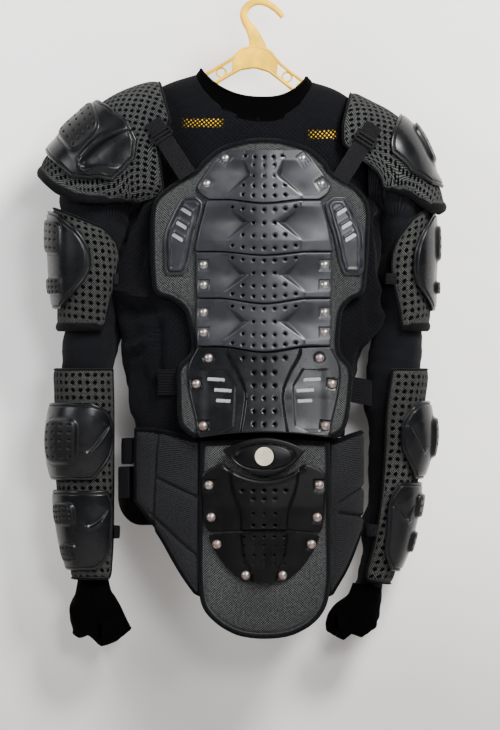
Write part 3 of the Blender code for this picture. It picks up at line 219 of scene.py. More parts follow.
# The shoulder armour's outline by the angle off its facing: the sections where it starts and ends there.
# A pad's table holds for both ways off its facing.
SHOULDER_SPANS = {
    ("shoulder_pad", "left"): table("off start end", [
        (0, 0.05, 4.72), (20, 0.05, 4.78), (45, 0.05, 4.9), (72, 0.08, 4.88), (84, 0.4, 4.74),
        (90, 0.5, 4.66), (110, 0.5, 4.12), (126, 0.5, 3.1), (136, 0.55, 1.8), (141, 0.68, 1.2)]),
    ("shoulder_pad", "right"): table("off start end", [
        (0, 0.05, 5.6), (20, 0.05, 5.62), (45, 0.03, 5.47), (65, 0.02, 5.05), (85, 0.2, 4.42),
        (95, 0.8, 3.95), (105, 1.5, 3.2), (110, 1.85, 2.65)]),
    ("shoulder_shell", "left"): table("off start end", [
        (-57, 1.75, 2.85), (-53, 1.05, 3.16), (-41, 0.95, 3.84), (-23, 1.28, 4.27), (-15, 1.6, 4.25),
        (-7, 1.88, 4.22), (12, 2.2, 4.22), (42, 2.45, 4.12), (60, 2.75, 3.7)]),
    ("shoulder_shell", "right"): table("off start end", [
        (-80, 2.2, 2.75), (-75, 2.05, 3.72), (-68, 2, 4.07), (-60, 2.02, 4.33), (-45, 2.12, 4.75),
        (-20, 2.2, 5.05), (0, 2.25, 5.05), (20, 2.2, 4.9), (45, 2.2, 4.4), (62, 2.5, 3.7)]),
}
SHOULDER_CROWN = {"left": 0.004, "right": 0.001}
# How far the shoulder pads stand off the sleeve more than the other pads, by section.
SHOULDER_FLARE = {
    "left": [(0.05, 0.001), (0.95, 0.003), (3, 0.005), (3.8, 0.012), (4.4, 0.0235), (4.9, 0.032)],
    "right": [(0.05, 0.001), (0.95, 0.003), (3.9, 0.004), (4.6, 0.006), (5.2, 0.017), (5.62, 0.027)],
}
# Raised blocks on the shells: the middle's section, half length in sections, the middle's angle off the
# shell's facing, half angle, height, and how many dimples it has across and down.
BLOCKS = table("shell side section half_length off wrap height across down", [
    ("shoulder_shell", "left", 3.1, 0.6, 8, 24, 0.006, 4, 5),
    ("shoulder_shell", "right", 3.65, 0.72, -2, 28, 0.006, 4, 5),
    ("upper_arm_shell", "left", 6.07, 0.38, -18, 23, 0.005, 4, 4),
    ("upper_arm_shell", "left", 7.17, 0.25, -20, 20, 0.005, 4, 3),
    ("upper_arm_shell", "right", 6.22, 0.37, -8, 20, 0.005, 4, 4),
    ("upper_arm_shell", "right", 7.2, 0.19, -10, 18, 0.005, 4, 3),
    ("elbow_shell", "left", 10.79, 0.52, -4, 26, 0.006, 4, 5),
    ("elbow_shell", "right", 10.72, 0.48, 0, 24, 0.006, 4, 5),
    ("forearm_shell", "left", 12.33, 0.25, 5, 23, 0.005, 5, 4),
    ("forearm_shell", "left", 13.42, 0.38, 5, 20, 0.005, 4, 3),
    ("forearm_shell", "right", 12.1, 0.25, -2, 22, 0.005, 4, 3),
    ("forearm_shell", "right", 12.92, 0.28, 3, 20, 0.005, 4, 3),
])
# Elastic bands that close the pads on the arm's inner side.
ARM_BANDS = table("name pad section half_length", [
    ("upper_arm_band", "upper_arm_pad", 6.95, 0.17),
    ("forearm_band", "forearm_pad", 12.75, 0.16),
])

# Ribs across the back pad and the tail pad: half widths, height at the edge and at the spine.
BACK_RIBS = lengths("left right edge middle", [
    (24, 24, -189, -187.5), (60, 60, -200, -201), (84, 84, -219, -220),
    (97, 94, -233, -238), (126, 121, -250, -260), (149, 140, -269, -284),
    (157, 147, -290, -306), (158, 146, -330, -334), (157, 143, -376, -370),
    (151, 138, -403, -388), (128, 121, -413, -402), (112, 110, -426, -420),
    (105, 106, -448, -448), (102, 106, -483, -480), (120, 122, -507, -504),
    (121, 122, -540, -534), (119, 116, -580, -568), (108, 108, -596, -584),
    (96, 94, -604, -592),
])
TAIL_RIBS = lengths("left right edge middle", [
    (88, 91, -609, -606), (90, 92, -660, -660),
    (91.5, 92.5, -730, -735), (91.5, 92.5, -800, -810),
    (86, 86, -838, -847), (66, 68, -862, -868),
    (40, 42, -877, -880), (18, 20, -882, -883),
])
# Ribs of the hard plates; waist is the half width of the raised centre there.
PLATES = {name: lengths("half edge middle waist", rows) for name, rows in (
    ("spine_plate_1", [(50, -204.5, -204.5, 30), (64, -213, -215, 24), (90, -250, -248, 20),
        (90, -263, -265, 30), (77, -273, -278, 34)]),
    ("spine_plate_2", [(80, -274.5, -279.5, 52), (85, -296, -298, 30), (89, -310, -313, 20),
        (93, -328, -332, 30), (96, -345, -350, 52)]),
    ("spine_plate_3", [(94, -346.4, -351.4, 52), (94.5, -362, -367, 30), (94.5, -376, -382, 20),
        (94, -393, -400, 30), (93, -409.5, -417, 52)]),
    ("spine_plate_4", [(93.5, -411, -418.4, 52), (94, -426, -433, 30), (94, -441, -448, 20),
        (93.5, -459, -466, 30), (93, -476, -484, 52)]),
    ("spine_plate_5", [(92.5, -477.4, -485.4, 48), (106, -506, -508, 34), (104, -540, -536, 24),
        (96, -575, -566, 26), (91, -603, -596, 30)]),
    ("tail_plate_1", [(60, -639, -662, 44), (84, -652, -672, 40), (86, -670, -685, 34),
        (81.5, -725, -720, 30), (73, -733.5, -730.5, 30)]),
    ("tail_plate_2", [(76, -737.5, -734.5, 30), (74, -750, -748, 28), (54, -781, -782, 26),
        (34, -799, -801, 16), (30, -801, -803, 14)]),
)}
PLATE_GAP = 0.0012  # between a plate and its pad
PLATE_RAISE = 0.0034  # how far the plates' raised centre stands over their sides
PLATE_CORNER = 0.004  # radius of their corners
# Rows of vent holes by plate: height, number of holes, distance between them.
VENTS = by_plate("z count pitch", {
    "spine_plate_1": [(-0.215, 5, 0.0128), (-0.2265, 3, 0.0143), (-0.2405, 3, 0.0143),
        (-0.255, 5, 0.0143), (-0.2685, 5, 0.0146)],
    "spine_plate_2": [(-0.288, 7, 0.0146), (-0.306, 3, 0.0146), (-0.324, 5, 0.0146),
        (-0.341, 7, 0.0146)],
    "spine_plate_3": [(-0.358, 7, 0.0146), (-0.3755, 3, 0.0146), (-0.3935, 5, 0.0146),
        (-0.408, 7, 0.0146)],
    "spine_plate_4": [(-0.425, 7, 0.0146), (-0.443, 3, 0.0146), (-0.461, 5, 0.0146),
        (-0.476, 7, 0.0146)],
    "spine_plate_5": [(-0.4945, 5, 0.0144), (-0.5135, 3, 0.0144), (-0.5315, 3, 0.0144),
        (-0.549, 3, 0.0144), (-0.567, 3, 0.0144), (-0.585, 3, 0.0144)],
    "tail_plate_1": [(-0.676, 5, 0.015), (-0.688, 3, 0.015), (-0.707, 3, 0.015), (-0.724, 3, 0.015)],
    "tail_plate_2": [(-0.74, 5, 0.014), (-0.753, 5, 0.014), (-0.7655, 5, 0.014), (-0.7775, 5, 0.014)],
})
VENT_DIP = 0.004  # the outer holes of a row of seven stand this much higher than the middle one
VENT_RADIUS = 0.002484
SMALL_VENT_RADIUS = 0.0018  # on the lowest plate
# Rivets in pairs on either side of the spine, with the recess round each: form, half size, turn and depth.
RIVETS = by_plate("x z form half turn depth", {
    "spine_plate_1": [(0.0535, -0.2165, "square", 0.008, 38, 0.0016),
        (0.0795, -0.252, "square", 0.008, 30, 0.0016)],
    "spine_plate_3": [(0.084, -0.364, "square", 0.0082, 0, 0.0018),
        (0.084, -0.392, "square", 0.0082, 0, 0.0018)],
    "spine_plate_4": [(0.084, -0.43, "square", 0.0082, 0, 0.0018),
        (0.084, -0.458, "square", 0.0082, 0, 0.0018)],
    "spine_plate_5": [(0.077, -0.493, "round", 0.008, 0, 0.0015),
        (0.094, -0.529, "square", 0.008, -8, 0.0018), (0.0845, -0.587, "square", 0.008, -6, 0.0018)],
    "tail_plate_1": [(0.0765, -0.669, "square", 0.0082, 0, 0.002),
        (0.0735, -0.7135, "square", 0.0082, 0, 0.002)],
    "tail_plate_2": [(0.0655, -0.751, "square", 0.0078, 0, 0.0018),
        (0.0255, -0.794, "square", 0.007, 0, 0.0016)],
})
RIVET_RADIUS = 0.006264

# Kidney belt: its loop round the body, then the edges of the wings at rows along it.
BELT_LEFT = 0.196
BELT_RIGHT = 0.133
BELT_BACK = 0.069
BELT_FRONT = 0.07
WINGS = {
    "left": lengths("x top bottom", [
        (93.5, -606, -826), (114, -600, -798), (140, -593, -752),
        (164, -590, -715), (181, -590, -693)]),
    "right": lengths("x top bottom", [
        (94.5, -608, -826), (105, -605, -808), (117, -600, -786),
        (130, -596, -754), (139, -594, -726)]),
}
# Elastic straps round the front: their edges, how far the lower edge drops there, and their stand-off.
BELT_STRAPS = table("name top bottom drop stand_off", [
    ("belt_strap_upper", -0.605, -0.641, 0, 0.002),
    ("belt_strap_lower", -0.645, -0.688, 0.04, 0.007)])

# Shoulder blade plates: ribs with their inner and outer edge, then the slots through them.
BLADE_RIBS = lengths("inner outer z", [
    (95, 112, -269), (85, 119, -279), (88, 129, -298),
    (96, 138.5, -323), (102, 139, -352), (107, 138.5, -370),
    (112, 134, -378),
])
BLADE_SLOTS = lengths("x z", [(108, -289), (114.5, -308), (119.5, -325)])
BLADE_SLOT = (0.015, 0.0062, math.radians(58))
WAIST_SLOTS = by_plate("x z length", {
    "spine_plate_5": [(0.0665, -0.5225, 0.024), (0.057, -0.5375, 0.024), (0.0565, -0.552, 0.02)],
})
WAIST_SLOT_TALL = 0.005
WAIST_SLOT_TURN = 0.06

# Lens plate over the joint of back and tail, with an oval boss and a plain disc on it.
LENS_HALF = 0.057
LENS_TOP = -0.603
LENS_TIPS = -0.62
LENS_BOTTOM = -0.654
BOSS_HALF = 0.04
BOSS_TALL = 0.017
BOSS_Z = -0.629
BOSS_RAISE = 0.003
BADGE_BASE = 0.0231  # the lens plate's underside over TAIL_Y
DISC_RADIUS = 0.013
DISC_THICK = 0.0016

# Webbing from the shoulder pads to the back pad: upper and lower end, and where the slide sits on it.
STRAP_WIDTH = 0.025
BRACES = {
    "left": ((-0.155, -0.164), (-0.106, -0.24)),
    "right": ((0.153, -0.17), (0.105, -0.246)),
}
BRACE_SLIDE = 0.26
SLIDE_SIZE = (0.033, 0.014, 0.0036)
WAIST_BAND_TALL = 0.036
WAIST_BANDS = table("side start end z drop", [
    ("left", -0.104, -0.148, -0.527, 0), ("right", 0.104, 0.15, -0.533, 0.009)])
ZIP_WIDTH = 0.026

# Hanger, in its own upright frame below the point it hangs from.
HANGER_TILT = math.radians(4)
HANGER_THICK = 0.007
HANGER_ROUNDING = 0.0012
HOOK_WIRE = 0.004
HANGER_ARM = lengths("x top bottom", [
    (0, -56, -87), (18, -60, -90), (34, -77, -100),
    (60, -94.5, -118), (75, -105, -126), (100, -118.5, -138),
    (130, -135, -152), (142, -142, -158),
])
HANGER_SLOTS = lengths("start end inset", [
    (32, 68, 4.2), (76, 104, 4.2), (112, 134, 4.2)])
TROUSER_BAR_Z = -0.18
TROUSER_BAR_X = 0.135
TROUSER_BAR_WIRE = 0.0032


# ---------------------------------------------------------------- surfaces, on arrays of places
def along(rows, place):
    """Rows of a table at places between them, on a smooth curve: 2.5 is half way from row 2 to row 3."""
    rows = np.asarray(rows, float)
    last = len(rows) - 1
    place = np.clip(np.asarray(place, float), 0, last)
    i = np.minimum(place.astype(int), last - 1)
    f = (place - i)[..., None]
    a, b, c, d = (rows[np.clip(i + k, 0, last)] for k in (-1, 0, 1, 2))
    curve = (c - a) * f + (2 * a - 5 * b + 4 * c - d) * f ** 2 + (3 * b - 3 * c + d - a) * f ** 3
    return np.moveaxis(b + curve / 2, -1, 0)


def spread(rows, share):
    """Rows of a table by share of its length, from 0 to 1."""
    return along(rows, share * (len(rows) - 1))


def power(value, exponent):
    return np.sign(value) * np.abs(value) ** exponent


def step(value, low, high):
    t = np.clip((value - low) / (high - low), 0, 1)
    return t * t * (3 - 2 * t)


def bell(value, middle, width):
    return np.exp(-(((value - middle) / width) ** 2))


def near(distance, reach):
    """1 at no distance, falling evenly to 0 at the reach."""
    return np.clip(1 - distance / reach, 0, 1)


def profile(distance, *stops):
    """A height by distance from a rim, given as pairs of distance and height."""
    return np.interp(distance, *zip(*stops))


def stack(x, y, z):
    return np.stack(np.broadcast_arrays(x, y, z), axis=-1)


def turned(x, z, at, turn):
    """Places as seen from a middle, along a turned direction and across it."""
    a, b, c, s = x - at[0], z - at[1], math.cos(turn), math.sin(turn)
    return a * c + b * s, b * c - a * s


def line_distance(x, z, ax, az, bx, bz):
    """How far places are from a line between two ends."""
    t = np.clip(((x - ax) * (bx - ax) + (z - az) * (bz - az)) / ((bx - ax) ** 2 + (bz - az) ** 2), 0, 1)
    return np.hypot(x - ax - t * (bx - ax), z - az - t * (bz - az))


def ring_point(row, angle, lift=0.0, squareness=BODY_SQUARENESS):
    """A point of a ring round the body, by its angle from the spine."""
    left, right, z_left, z_right, z_back, z_front, back, front = row
    sine, cosine = np.sin(angle), np.cos(angle)
    side = np.where(sine >= 0, right, left)
    depth = np.where(cosine >= 0, back, front)
    side_z = np.where(sine >= 0, z_right, z_left)
    middle_z = np.where(cosine >= 0, z_back, z_front)
    return stack((side + lift) * power(sine, squareness), -(depth + lift) * power(cosine, squareness),
                 side_z + (middle_z - side_z) * np.abs(cosine) ** 1.6)


def fold_depth(angle, z):
    total = np.zeros(np.broadcast(angle, z).shape)
    for fold in FOLDS:
        off = (np.degrees(angle) - fold.angle + 180) % 360 - 180
        down = np.clip((fold.top - z) / (fold.top - fold.bottom), 0, 1)
        total += fold.depth * np.sin(np.pi * down) * bell(off, 0, fold.reach)
    return total


def back_surface(x, z, lift=0.0):
    """The back pad's underside: it leans over the shoulders and lies on the belt at its foot."""
    lean = BACK_LEAN * np.maximum(z - BACK_LEAN_Z, 0.0)
    hollow = HOLLOW * np.sin(np.pi * np.clip((-z - 0.33) / 0.22, 0.0, 1.0))
    over_belt = BELT_RISE * step(-z, 0.525, 0.605)
    return stack(x, BACK_Y + lean + hollow - over_belt + BACK_BOW * x * x - lift, z)


def tail_lean(z):
    return TAIL_LEAN * np.maximum(TAIL_LEAN_Z - z, 0.0)


def tail_surface(x, z, lift=0.0):
    return stack(x, TAIL_Y + tail_lean(z) + TAIL_BOW * x * x - lift, z)


def point_on(surface, x, z, lift):
    return Vector(surface(np.array(x), np.array(z), lift).tolist())


def arm_point(side, section, angle, lift=0.0):
    """A point round an arm, by section and by angle in degrees from straight back."""
    inner_x, inner_z, outer_x, outer_z, depth, y = along(ARM[side], section)
    across = np.stack([outer_x - inner_x, outer_z - inner_z], -1)
    length = np.linalg.norm(across, axis=-1)
    angle = np.radians(angle)
    reach = (length / 2 + lift) * power(np.sin(angle), ARM_SQUARENESS) / length
    return stack((inner_x + outer_x) / 2 + across[..., 0] * reach,
                 y - (depth + lift) * power(np.cos(angle), ARM_SQUARENESS),
                 (inner_z + outer_z) / 2 + across[..., 1] * reach)


def facing(entry, side):
    return entry.facing_left if side == "left" else entry.facing_right


def pad_lift(pad, side, section, angle):
    """How far a pad's underside stands off the sleeve."""
    if pad != "shoulder_pad":
        return np.full(section.shape, GAP)
    flare = np.interp(section, *zip(*SHOULDER_FLARE[side]))
    return GAP + flare * np.maximum(np.cos(np.radians(angle - 90)), 0.3)


def shift_down(entry, side):
    return SHIFT_RIGHT.get(entry.name, 0.0) if side == "right" else 0.0


def outline_spot(entry, side):
    """Sections and angles of the grid of a pad or a shell."""
    u, v = grid(entry.columns, entry.rows)
    direction = facing(entry, side)
    if (entry.name, side) in SHOULDER_SPANS:
        offs, starts, ends = zip(*SHOULDER_SPANS[entry.name, side])
        mirrored = offs[0] == 0
        first = -offs[-1] if mirrored else offs[0]
        off = first + (offs[-1] - first) * u
        at = np.abs(off) if mirrored else off
        start, end = np.interp(at, offs, starts), np.interp(at, offs, ends)
        return start + (end - start) * v, direction + off
    rows = PAD_OUTLINE.get(entry.name) or SHELL_OUTLINE[entry.name]
    section, wrap = spread([row[:2] for row in rows], v)
    return section + shift_down(entry, side), direction + (u * 2 - 1) * wrap


def shell_lift(entry, side, section, angle):
    """How far a shell's underside stands off the sleeve, with its crown."""
    if entry.name == "shoulder_shell":
        rows = SHOULDER_SPANS[entry.name, side]
        low, high = min(row.start for row in rows), max(row.end for row in rows)
        crown = SHOULDER_CROWN[side]
    else:
        rows = SHELL_OUTLINE[entry.name]
        low, high, crown = rows[0].section, rows[-1].section, max(row.crown for row in rows)
        section = section - shift_down(entry, side)
    share = np.clip((section - low) / (high - low), 0, 1)
    off = np.minimum(np.abs(angle - facing(entry, side)) / 90, 1.0)
    stand = pad_lift(entry.pad, side, section, angle) + PAD + GAP
    return stand + crown * np.sin(np.pi * share) ** 0.6 * (1 - off * off)


def belt_point(angle, z, lift=0.0):
    loop = (BELT_LEFT, BELT_RIGHT, z, z, z, z, BELT_BACK, BELT_FRONT)
    point = ring_point(loop, angle, lift, BELT_SQUARENESS)
    point[..., 1] += tail_lean(z)
    return point


def belt_angle(side, x):
    half = BELT_LEFT if side == "left" else BELT_RIGHT
    return SIDE[side] * np.arcsin(np.minimum(x / (half + BELT_PAD / 2), 1.0) ** (1 / BELT_SQUARENESS))


def turbulence(points, size, seed=0.0):
    """Smooth noise from -1 to 1 at points, with bumps of about a size."""
    flat = (points / size + seed).reshape(-1, 3)
    return np.array([noise.noise(p) for p in flat.tolist()]).reshape(points.shape[:-1])


def grid(columns, rows, wrap=False):
    """u across and v down, from 0 to 1, as arrays of rows by columns; wrap leaves out u = 1."""
    u, v = np.meshgrid(np.linspace(0, 1, columns + 1), np.linspace(0, 1, rows + 1))
    return (u[:, :-1], v[:, :-1]) if wrap else (u, v)


def arc_lengths(points, axis):
    """How far each point of a grid is from the grid's middle along one way of it."""
    steps = np.linalg.norm(np.diff(points, axis=axis), axis=-1)
    start = np.zeros_like(np.take(steps, [0], axis=axis))
    total = np.concatenate([start, np.cumsum(steps, axis=axis)], axis=axis)
    return total - np.take(total, [total.shape[axis] // 2], axis=axis)


def nearest(points, line):
    """How far each point of a grid is from the nearest point of a line, and that one's number."""
    flat = points.reshape(-1, 3)
    which = np.empty(len(flat), int)
    for start in range(0, len(flat), 4000):
        part = flat[start:start + 4000]
        which[start:start + 4000] = ((part[:, None] - line[None]) ** 2).sum(-1).argmin(1)
    away = np.linalg.norm(flat - line[which], axis=1)
    return away.reshape(points.shape[:2]), which.reshape(points.shape[:2])


def rim_distance(points):
    """How far each point of a grid is from the grid's edge."""
    return nearest(points, np.concatenate([points[0], points[-1], points[:, 0], points[:, -1]]))[0]


# ---------------------------------------------------------------- meshes
def linked(name, data):
    obj = bpy.data.objects.new(name, data)
    bpy.context.scene.collection.objects.link(obj)
    return obj


def dress(name, mesh, sharp, material, nodes):
    """A mesh as a piece, with its creases, its material, its body and the CAD nodes it stands for."""
    mesh.shade_smooth()
    mesh.set_sharp_from_angle(angle=math.radians(sharp))
    mesh.materials.append(material)
    obj = linked(name, mesh)
    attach(obj, "root")
    if nodes:
        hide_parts(*nodes)
    return obj


def lattice(name, outer, inner, material, nodes=(), keep=None, wrap=False, closed=True, rim=None,
            sharp=50):
    """A mesh of a grid of points, with walls at its edges to a second grid that closes it if asked.

    keep says which cells are faces, and rim is a value stored at the points for the material: the distance
    in from the edge for cloth, the painted shade for plastic.
    """
    rows, columns = outer.shape[:2]
    total = rows * columns
    i = np.arange(rows - 1)[:, None]
    j = np.arange(columns if wrap else columns - 1)[None]
    corners = [(i, j), (i, j + 1), (i + 1, j + 1), (i + 1, j)]
    shape = (rows - 1, j.size)
    quads = np.stack([np.broadcast_to(a * columns + b % columns, shape) for a, b in corners], -1)
    corner, under = outer.reshape(-1, 3)[quads], inner.reshape(-1, 3)[quads]
    normal = np.cross(corner[..., 2, :] - corner[..., 0, :], corner[..., 3, :] - corner[..., 1, :])
    if (normal * (corner.mean(2) - under.mean(2))).sum() < 0:
        quads = quads[..., ::-1]
    if keep is not None:
        quads = quads[keep]
    quads = quads.reshape(-1, 4)
    sides = np.concatenate([quads[:, [k, (k + 1) % 4]] for k in range(4)])
    key = np.sort(sides, 1)
    _, first, count = np.unique(key[:, 0] * total + key[:, 1], return_index=True, return_counts=True)
    border = sides[first[count == 1]]
    walls = np.stack([border[:, 1], border[:, 0], border[:, 0] + total, border[:, 1] + total], 1)
    faces = np.concatenate([quads, walls] + ([quads[:, ::-1] + total] if closed else []))
    ring = np.concatenate([outer, outer[:, :1]], 1) if wrap else outer
    places = np.stack([arc_lengths(ring, 1)[:, :columns], arc_lengths(outer, 0)], -1).reshape(-1, 2)
    used, faces_flat = np.unique(faces, return_inverse=True)
    verts = np.concatenate([outer.reshape(-1, 3), inner.reshape(-1, 3)])[used] + (SPINE_X, 0, 0)
    mesh = bpy.data.meshes.new(name)
    mesh.from_pydata(verts.tolist(), [], faces_flat.reshape(faces.shape).tolist())
    layer = mesh.uv_layers.new(name="cloth")
    loops = np.zeros(len(mesh.loops), np.int32)
    mesh.loops.foreach_get("vertex_index", loops)
    layer.data.foreach_set("uv", places[used[loops] % total].ravel())
    if rim is not None:
        stored = mesh.attributes.new("rim", "FLOAT", "POINT")
        stored.data.foreach_set("value", np.tile(rim.ravel(), 2)[used].astype(np.float32))
    return dress(name, mesh, sharp, material, nodes)


def from_bmesh(name, bm, material, nodes=(), shift=SPINE_X):
    mesh = bpy.data.meshes.new(name)
    bmesh.ops.recalc_face_normals(bm, faces=bm.faces)
    bmesh.ops.translate(bm, vec=(shift, 0, 0), verts=bm.verts)
    bm.to_mesh(mesh)
    bm.free()
    return dress(name, mesh, 35, material, nodes)


def circle(radius, count):
    """Places round a circle, as pairs."""
    turns = (2 * math.pi * k / count for k in range(count))
    return [(radius * math.cos(a), radius * math.sin(a)) for a in turns]


def skin(bm, rings, foot=True):
    """Faces from ring to ring of points, with a cap at the top and, if asked, at the foot."""
    last = None
    for points in rings:
        ring = [bm.verts.new(point) for point in points]
        if last:
            for k in range(len(ring)):
                follow = (k + 1) % len(ring)
                bm.faces.new((last[k], last[follow], ring[follow], ring[k]))
        elif foot:
            bm.faces.new(ring[::-1])
        last = ring
    bm.faces.new(last)


def patch(bm, columns, place):
    """A small grid whose places from -0.5 to 0.5, across and up, are moved by a rule."""
    for vertex in bmesh.ops.create_grid(bm, x_segments=columns, y_segments=4, size=0.5)["verts"]:
        vertex.co = place(vertex.co.x, vertex.co.y)


def block(bm, size, middle):
    made = bmesh.ops.create_cube(bm, size=1.0)["verts"]
    bmesh.ops.scale(bm, vec=size, verts=made)
    bmesh.ops.translate(bm, vec=middle, verts=made)


# ---------------------------------------------------------------- materials
class Look:
    """A Principled material whose nodes are added by short calls."""

    def __init__(self, name):
        self.material = bpy.data.materials.new(name)
        self.material.use_nodes = True
        self.tree = self.material.node_tree
        self.shader = self.tree.nodes["Principled BSDF"]

    def node(self, kind, inputs, **settings):
        made = self.tree.nodes.new(kind)
        for key, value in settings.items():
            setattr(made, key, value)
        for key, value in inputs.items():
            self.fill(made.inputs[key], value)
        return made

    def fill(self, socket, value):
        """Links a socket, or sets its value."""
        if isinstance(value, bpy.types.NodeSocket):
            self.tree.links.new(value, socket)
        elif value is not None:
            is_colour = socket.type == "RGBA"
            socket.default_value = (*value, 1) if is_colour else value

    def place(self, kind="Object"):
        return self.node("ShaderNodeTexCoord", {}).outputs[kind]

    def scaled(self, vector, scale, turn=0.0):
        made = self.node("ShaderNodeMapping", {"Vector": vector, "Scale": scale, "Rotation": (0, 0, turn)})
        return made.outputs["Vector"]

    def split(self, vector):
        return self.node("ShaderNodeSeparateXYZ", {"Vector": vector}).outputs

    def math(self, operation, a, b=None, c=None):
        return self.node("ShaderNodeMath", {0: a, 1: b, 2: c}, operation=operation).outputs[0]

    def times(self, a, b):
        return self.math("MULTIPLY", a, b)

    def off(self, a, b):
        """How far a value is from another."""
        return self.math("ABSOLUTE", self.math("SUBTRACT", a, b))

    def noise(self, vector, scale, detail=2.0, rough=0.5):
        inputs = {"Vector": vector, "Scale": scale, "Detail": detail, "Roughness": rough}
        return self.node("ShaderNodeTexNoise", inputs).outputs["Fac"]

    def ramp(self, factor, low, high, start=0.0, end=1.0):
        inputs = {"Value": factor, "From Min": low, "From Max": high, "To Min": start, "To Max": end}
        return self.node("ShaderNodeMapRange", inputs, interpolation_type="SMOOTHSTEP").outputs["Result"]

    def mix(self, factor, a, b):
        return self.node("ShaderNodeMix", {0: factor, 6: a, 7: b}, data_type="RGBA").outputs[2]

    def attribute(self, name):
        return self.node("ShaderNodeAttribute", {}, attribute_name=name).outputs["Fac"]

    def bump(self, height, strength, distance, normal=None):
        inputs = {"Height": height, "Strength": strength, "Distance": distance, "Normal": normal}
        return self.node("ShaderNodeBump", inputs).outputs["Normal"]

    def finish(self, **inputs):
        for key, value in inputs.items():
            self.fill(self.shader.inputs[key.replace("_", " ")], value)
        return self.material


def shade_of(colour, share, most=math.inf):
    return tuple(min(c * share, most) for c in colour)


def plastic(name, colour, roughness, gloss=0.5):
    """Satin moulded plastic with a fine grain, faint dust and hairline scratches, and painted shade where it
    is sunk.
    """
    look = Look(name)
    spot = look.place()
    dust = look.noise(spot, 26, 4, 0.6)
    hair = look.noise(look.scaled(spot, (45, 45, 1500), 0.3), 1.0, 2)
    scratch = look.times(look.ramp(hair, 0.68, 0.76), look.ramp(dust, 0.45, 0.7))
    tone = look.mix(look.ramp(dust, 0.35, 0.75), shade_of(colour, 0.8), shade_of(colour, 1.35))
    tone = look.mix(look.times(scratch, 0.5), tone, shade_of(colour, 4, 0.9))
    rough = look.ramp(dust, 0.3, 0.8, roughness - 0.05, roughness + 0.08)
    # Painted shade: the rim attribute darkens the colour and roughens the gloss in grooves and recesses.
    painted_shade = look.attribute("rim")
    tone = look.mix(painted_shade, tone, GROOVE_SHADE)
    rough = look.math("MULTIPLY_ADD", painted_shade, 0.4, rough)
    normal = look.bump(look.noise(spot, 60, 3), 0.1, 0.0006)
    normal = look.bump(look.noise(spot, 1500, 2), 0.06, 0.0002, normal)
    return look.finish(Base_Color=tone, Roughness=rough, Normal=normal, Specular_IOR_Level=gloss)


def eyelets(look, flat, speck, across, size, slant):
    """How open cloth is: rows of round-cornered eyelets, as far apart as across and turned by slant."""
    x, y, _ = look.split(look.scaled(flat, (1 / across, 1 / across, 1.0), slant))
    away = [look.off(look.math("FRACT", k), 0.5) for k in (x, y)]
    reach = look.math("MAXIMUM", look.math("MAXIMUM", *away), look.times(look.math("ADD", *away), 0.74))
    reach = look.math("ADD", reach, look.times(look.math("SUBTRACT", speck, 0.5), 0.1))
    return look.ramp(reach, size / across * 0.86, size / across * 1.14, 1.0, 0.0)


def seen_through(look, wide, colour, spots):
    """The colour seen through eyelets: painted shade, and in patches that of a thing behind the cloth."""
    x, _, z = look.split(look.place())
    through = SHADE_BEHIND_HOLES
    for spot in spots:
        far = [look.math("ABSOLUTE", look.math("DIVIDE", look.math("SUBTRACT", p, middle), half))
               for p, middle, half in ((x, spot.x, spot.half_x), (z, spot.z, spot.half_z))]
        here = look.ramp(look.math("MAXIMUM", *far), 0.7, 1.15, 1.0, 0.0)
        through = look.mix(look.times(here, look.ramp(wide, 0.4, 0.56, 0.45, 1.0)), through, colour)
    return through


def cloth(name, dark, light, pitch, binding=None, band=0.0, holes=None, sheen=0.02, turn=0.0, share=0.5,
          behind=None):
    """Speckled cloth on the piece's own cloth coordinates: yarns at a pitch, a bound edge, rows of eyelets.

    share is how much of the cloth is in the light yarn. Its eyelets show painted shade; behind is the colour
    that shows through them, and where it does.
    """
    look = Look(name)
    flat = look.scaled(look.place("UV"), (1.0, 1.0, 1.0), turn)
    yarns = [look.math("SINE", look.times(k, 2 * math.pi / pitch)) for k in look.split(flat)[:2]]
    speck = look.noise(flat, 1.0 / pitch, 2, 0.6)
    amount = look.math("MULTIPLY_ADD", speck, 0.9, look.times(look.times(*yarns), 0.55))
    amount = look.ramp(amount, 0.65 - share, 1.2 - share)
    wide = look.noise(look.place(), 11, 3)
    tone = look.mix(look.times(amount, look.ramp(wide, 0.3, 0.7, 0.75, 1.0)), dark, light)
    height = amount
    rim = look.attribute("rim")
    if holes:
        open_part = eyelets(look, flat, speck, *holes)
        if band:
            open_part = look.times(open_part, look.ramp(rim, band, band + 0.002))
        # The eyelets show painted shade, or in patches the thing behind.
        tone = look.mix(open_part, tone, seen_through(look, wide, *behind) if behind else SHADE_BEHIND_HOLES)
        height = look.math("SUBTRACT", height, look.times(open_part, 3.0))
    if binding:
        edge = look.ramp(rim, band * 0.85, band * 1.1, 1.0, 0.0)
        fuzz = look.ramp(look.noise(look.place(), 620, 2, 0.8), 0.35, 0.7)
        tone = look.mix(edge, tone, look.mix(fuzz, shade_of(binding, 0.4), shade_of(binding, 2.2)))
        height = look.times(height, look.math("SUBTRACT", 1.0, look.times(edge, 0.6)))
    normal = look.bump(height, 0.5, 0.0005)
    normal = look.bump(look.noise(look.place(), 70, 3), 0.25, 0.002, normal)
    return look.finish(Base_Color=tone, Roughness=0.92, Normal=normal, Sheen_Weight=sheen,
                       Specular_IOR_Level=0.03)


def metal(name, colour, rust):
    """Satin steel with patches of rust, more of them lower down."""
    look = Look(name)
    spot = look.place()
    low = look.ramp(look.split(spot)[2], -0.3, -0.62, 0.0, 1.0)
    stains = look.ramp(look.noise(spot, 190, 3, 0.6), 0.4, 0.62)
    stained = look.times(stains, look.ramp(low, 0, 1, 0.15, rust))
    tone = look.mix(stained, colour, (0.17, 0.075, 0.05))
    rough = look.ramp(stained, 0, 1, 0.3, 0.6)
    normal = look.bump(look.noise(spot, 700, 3), 0.2, 0.0004)
    return look.finish(Base_Color=tone, Roughness=rough, Metallic=0.85, Normal=normal)


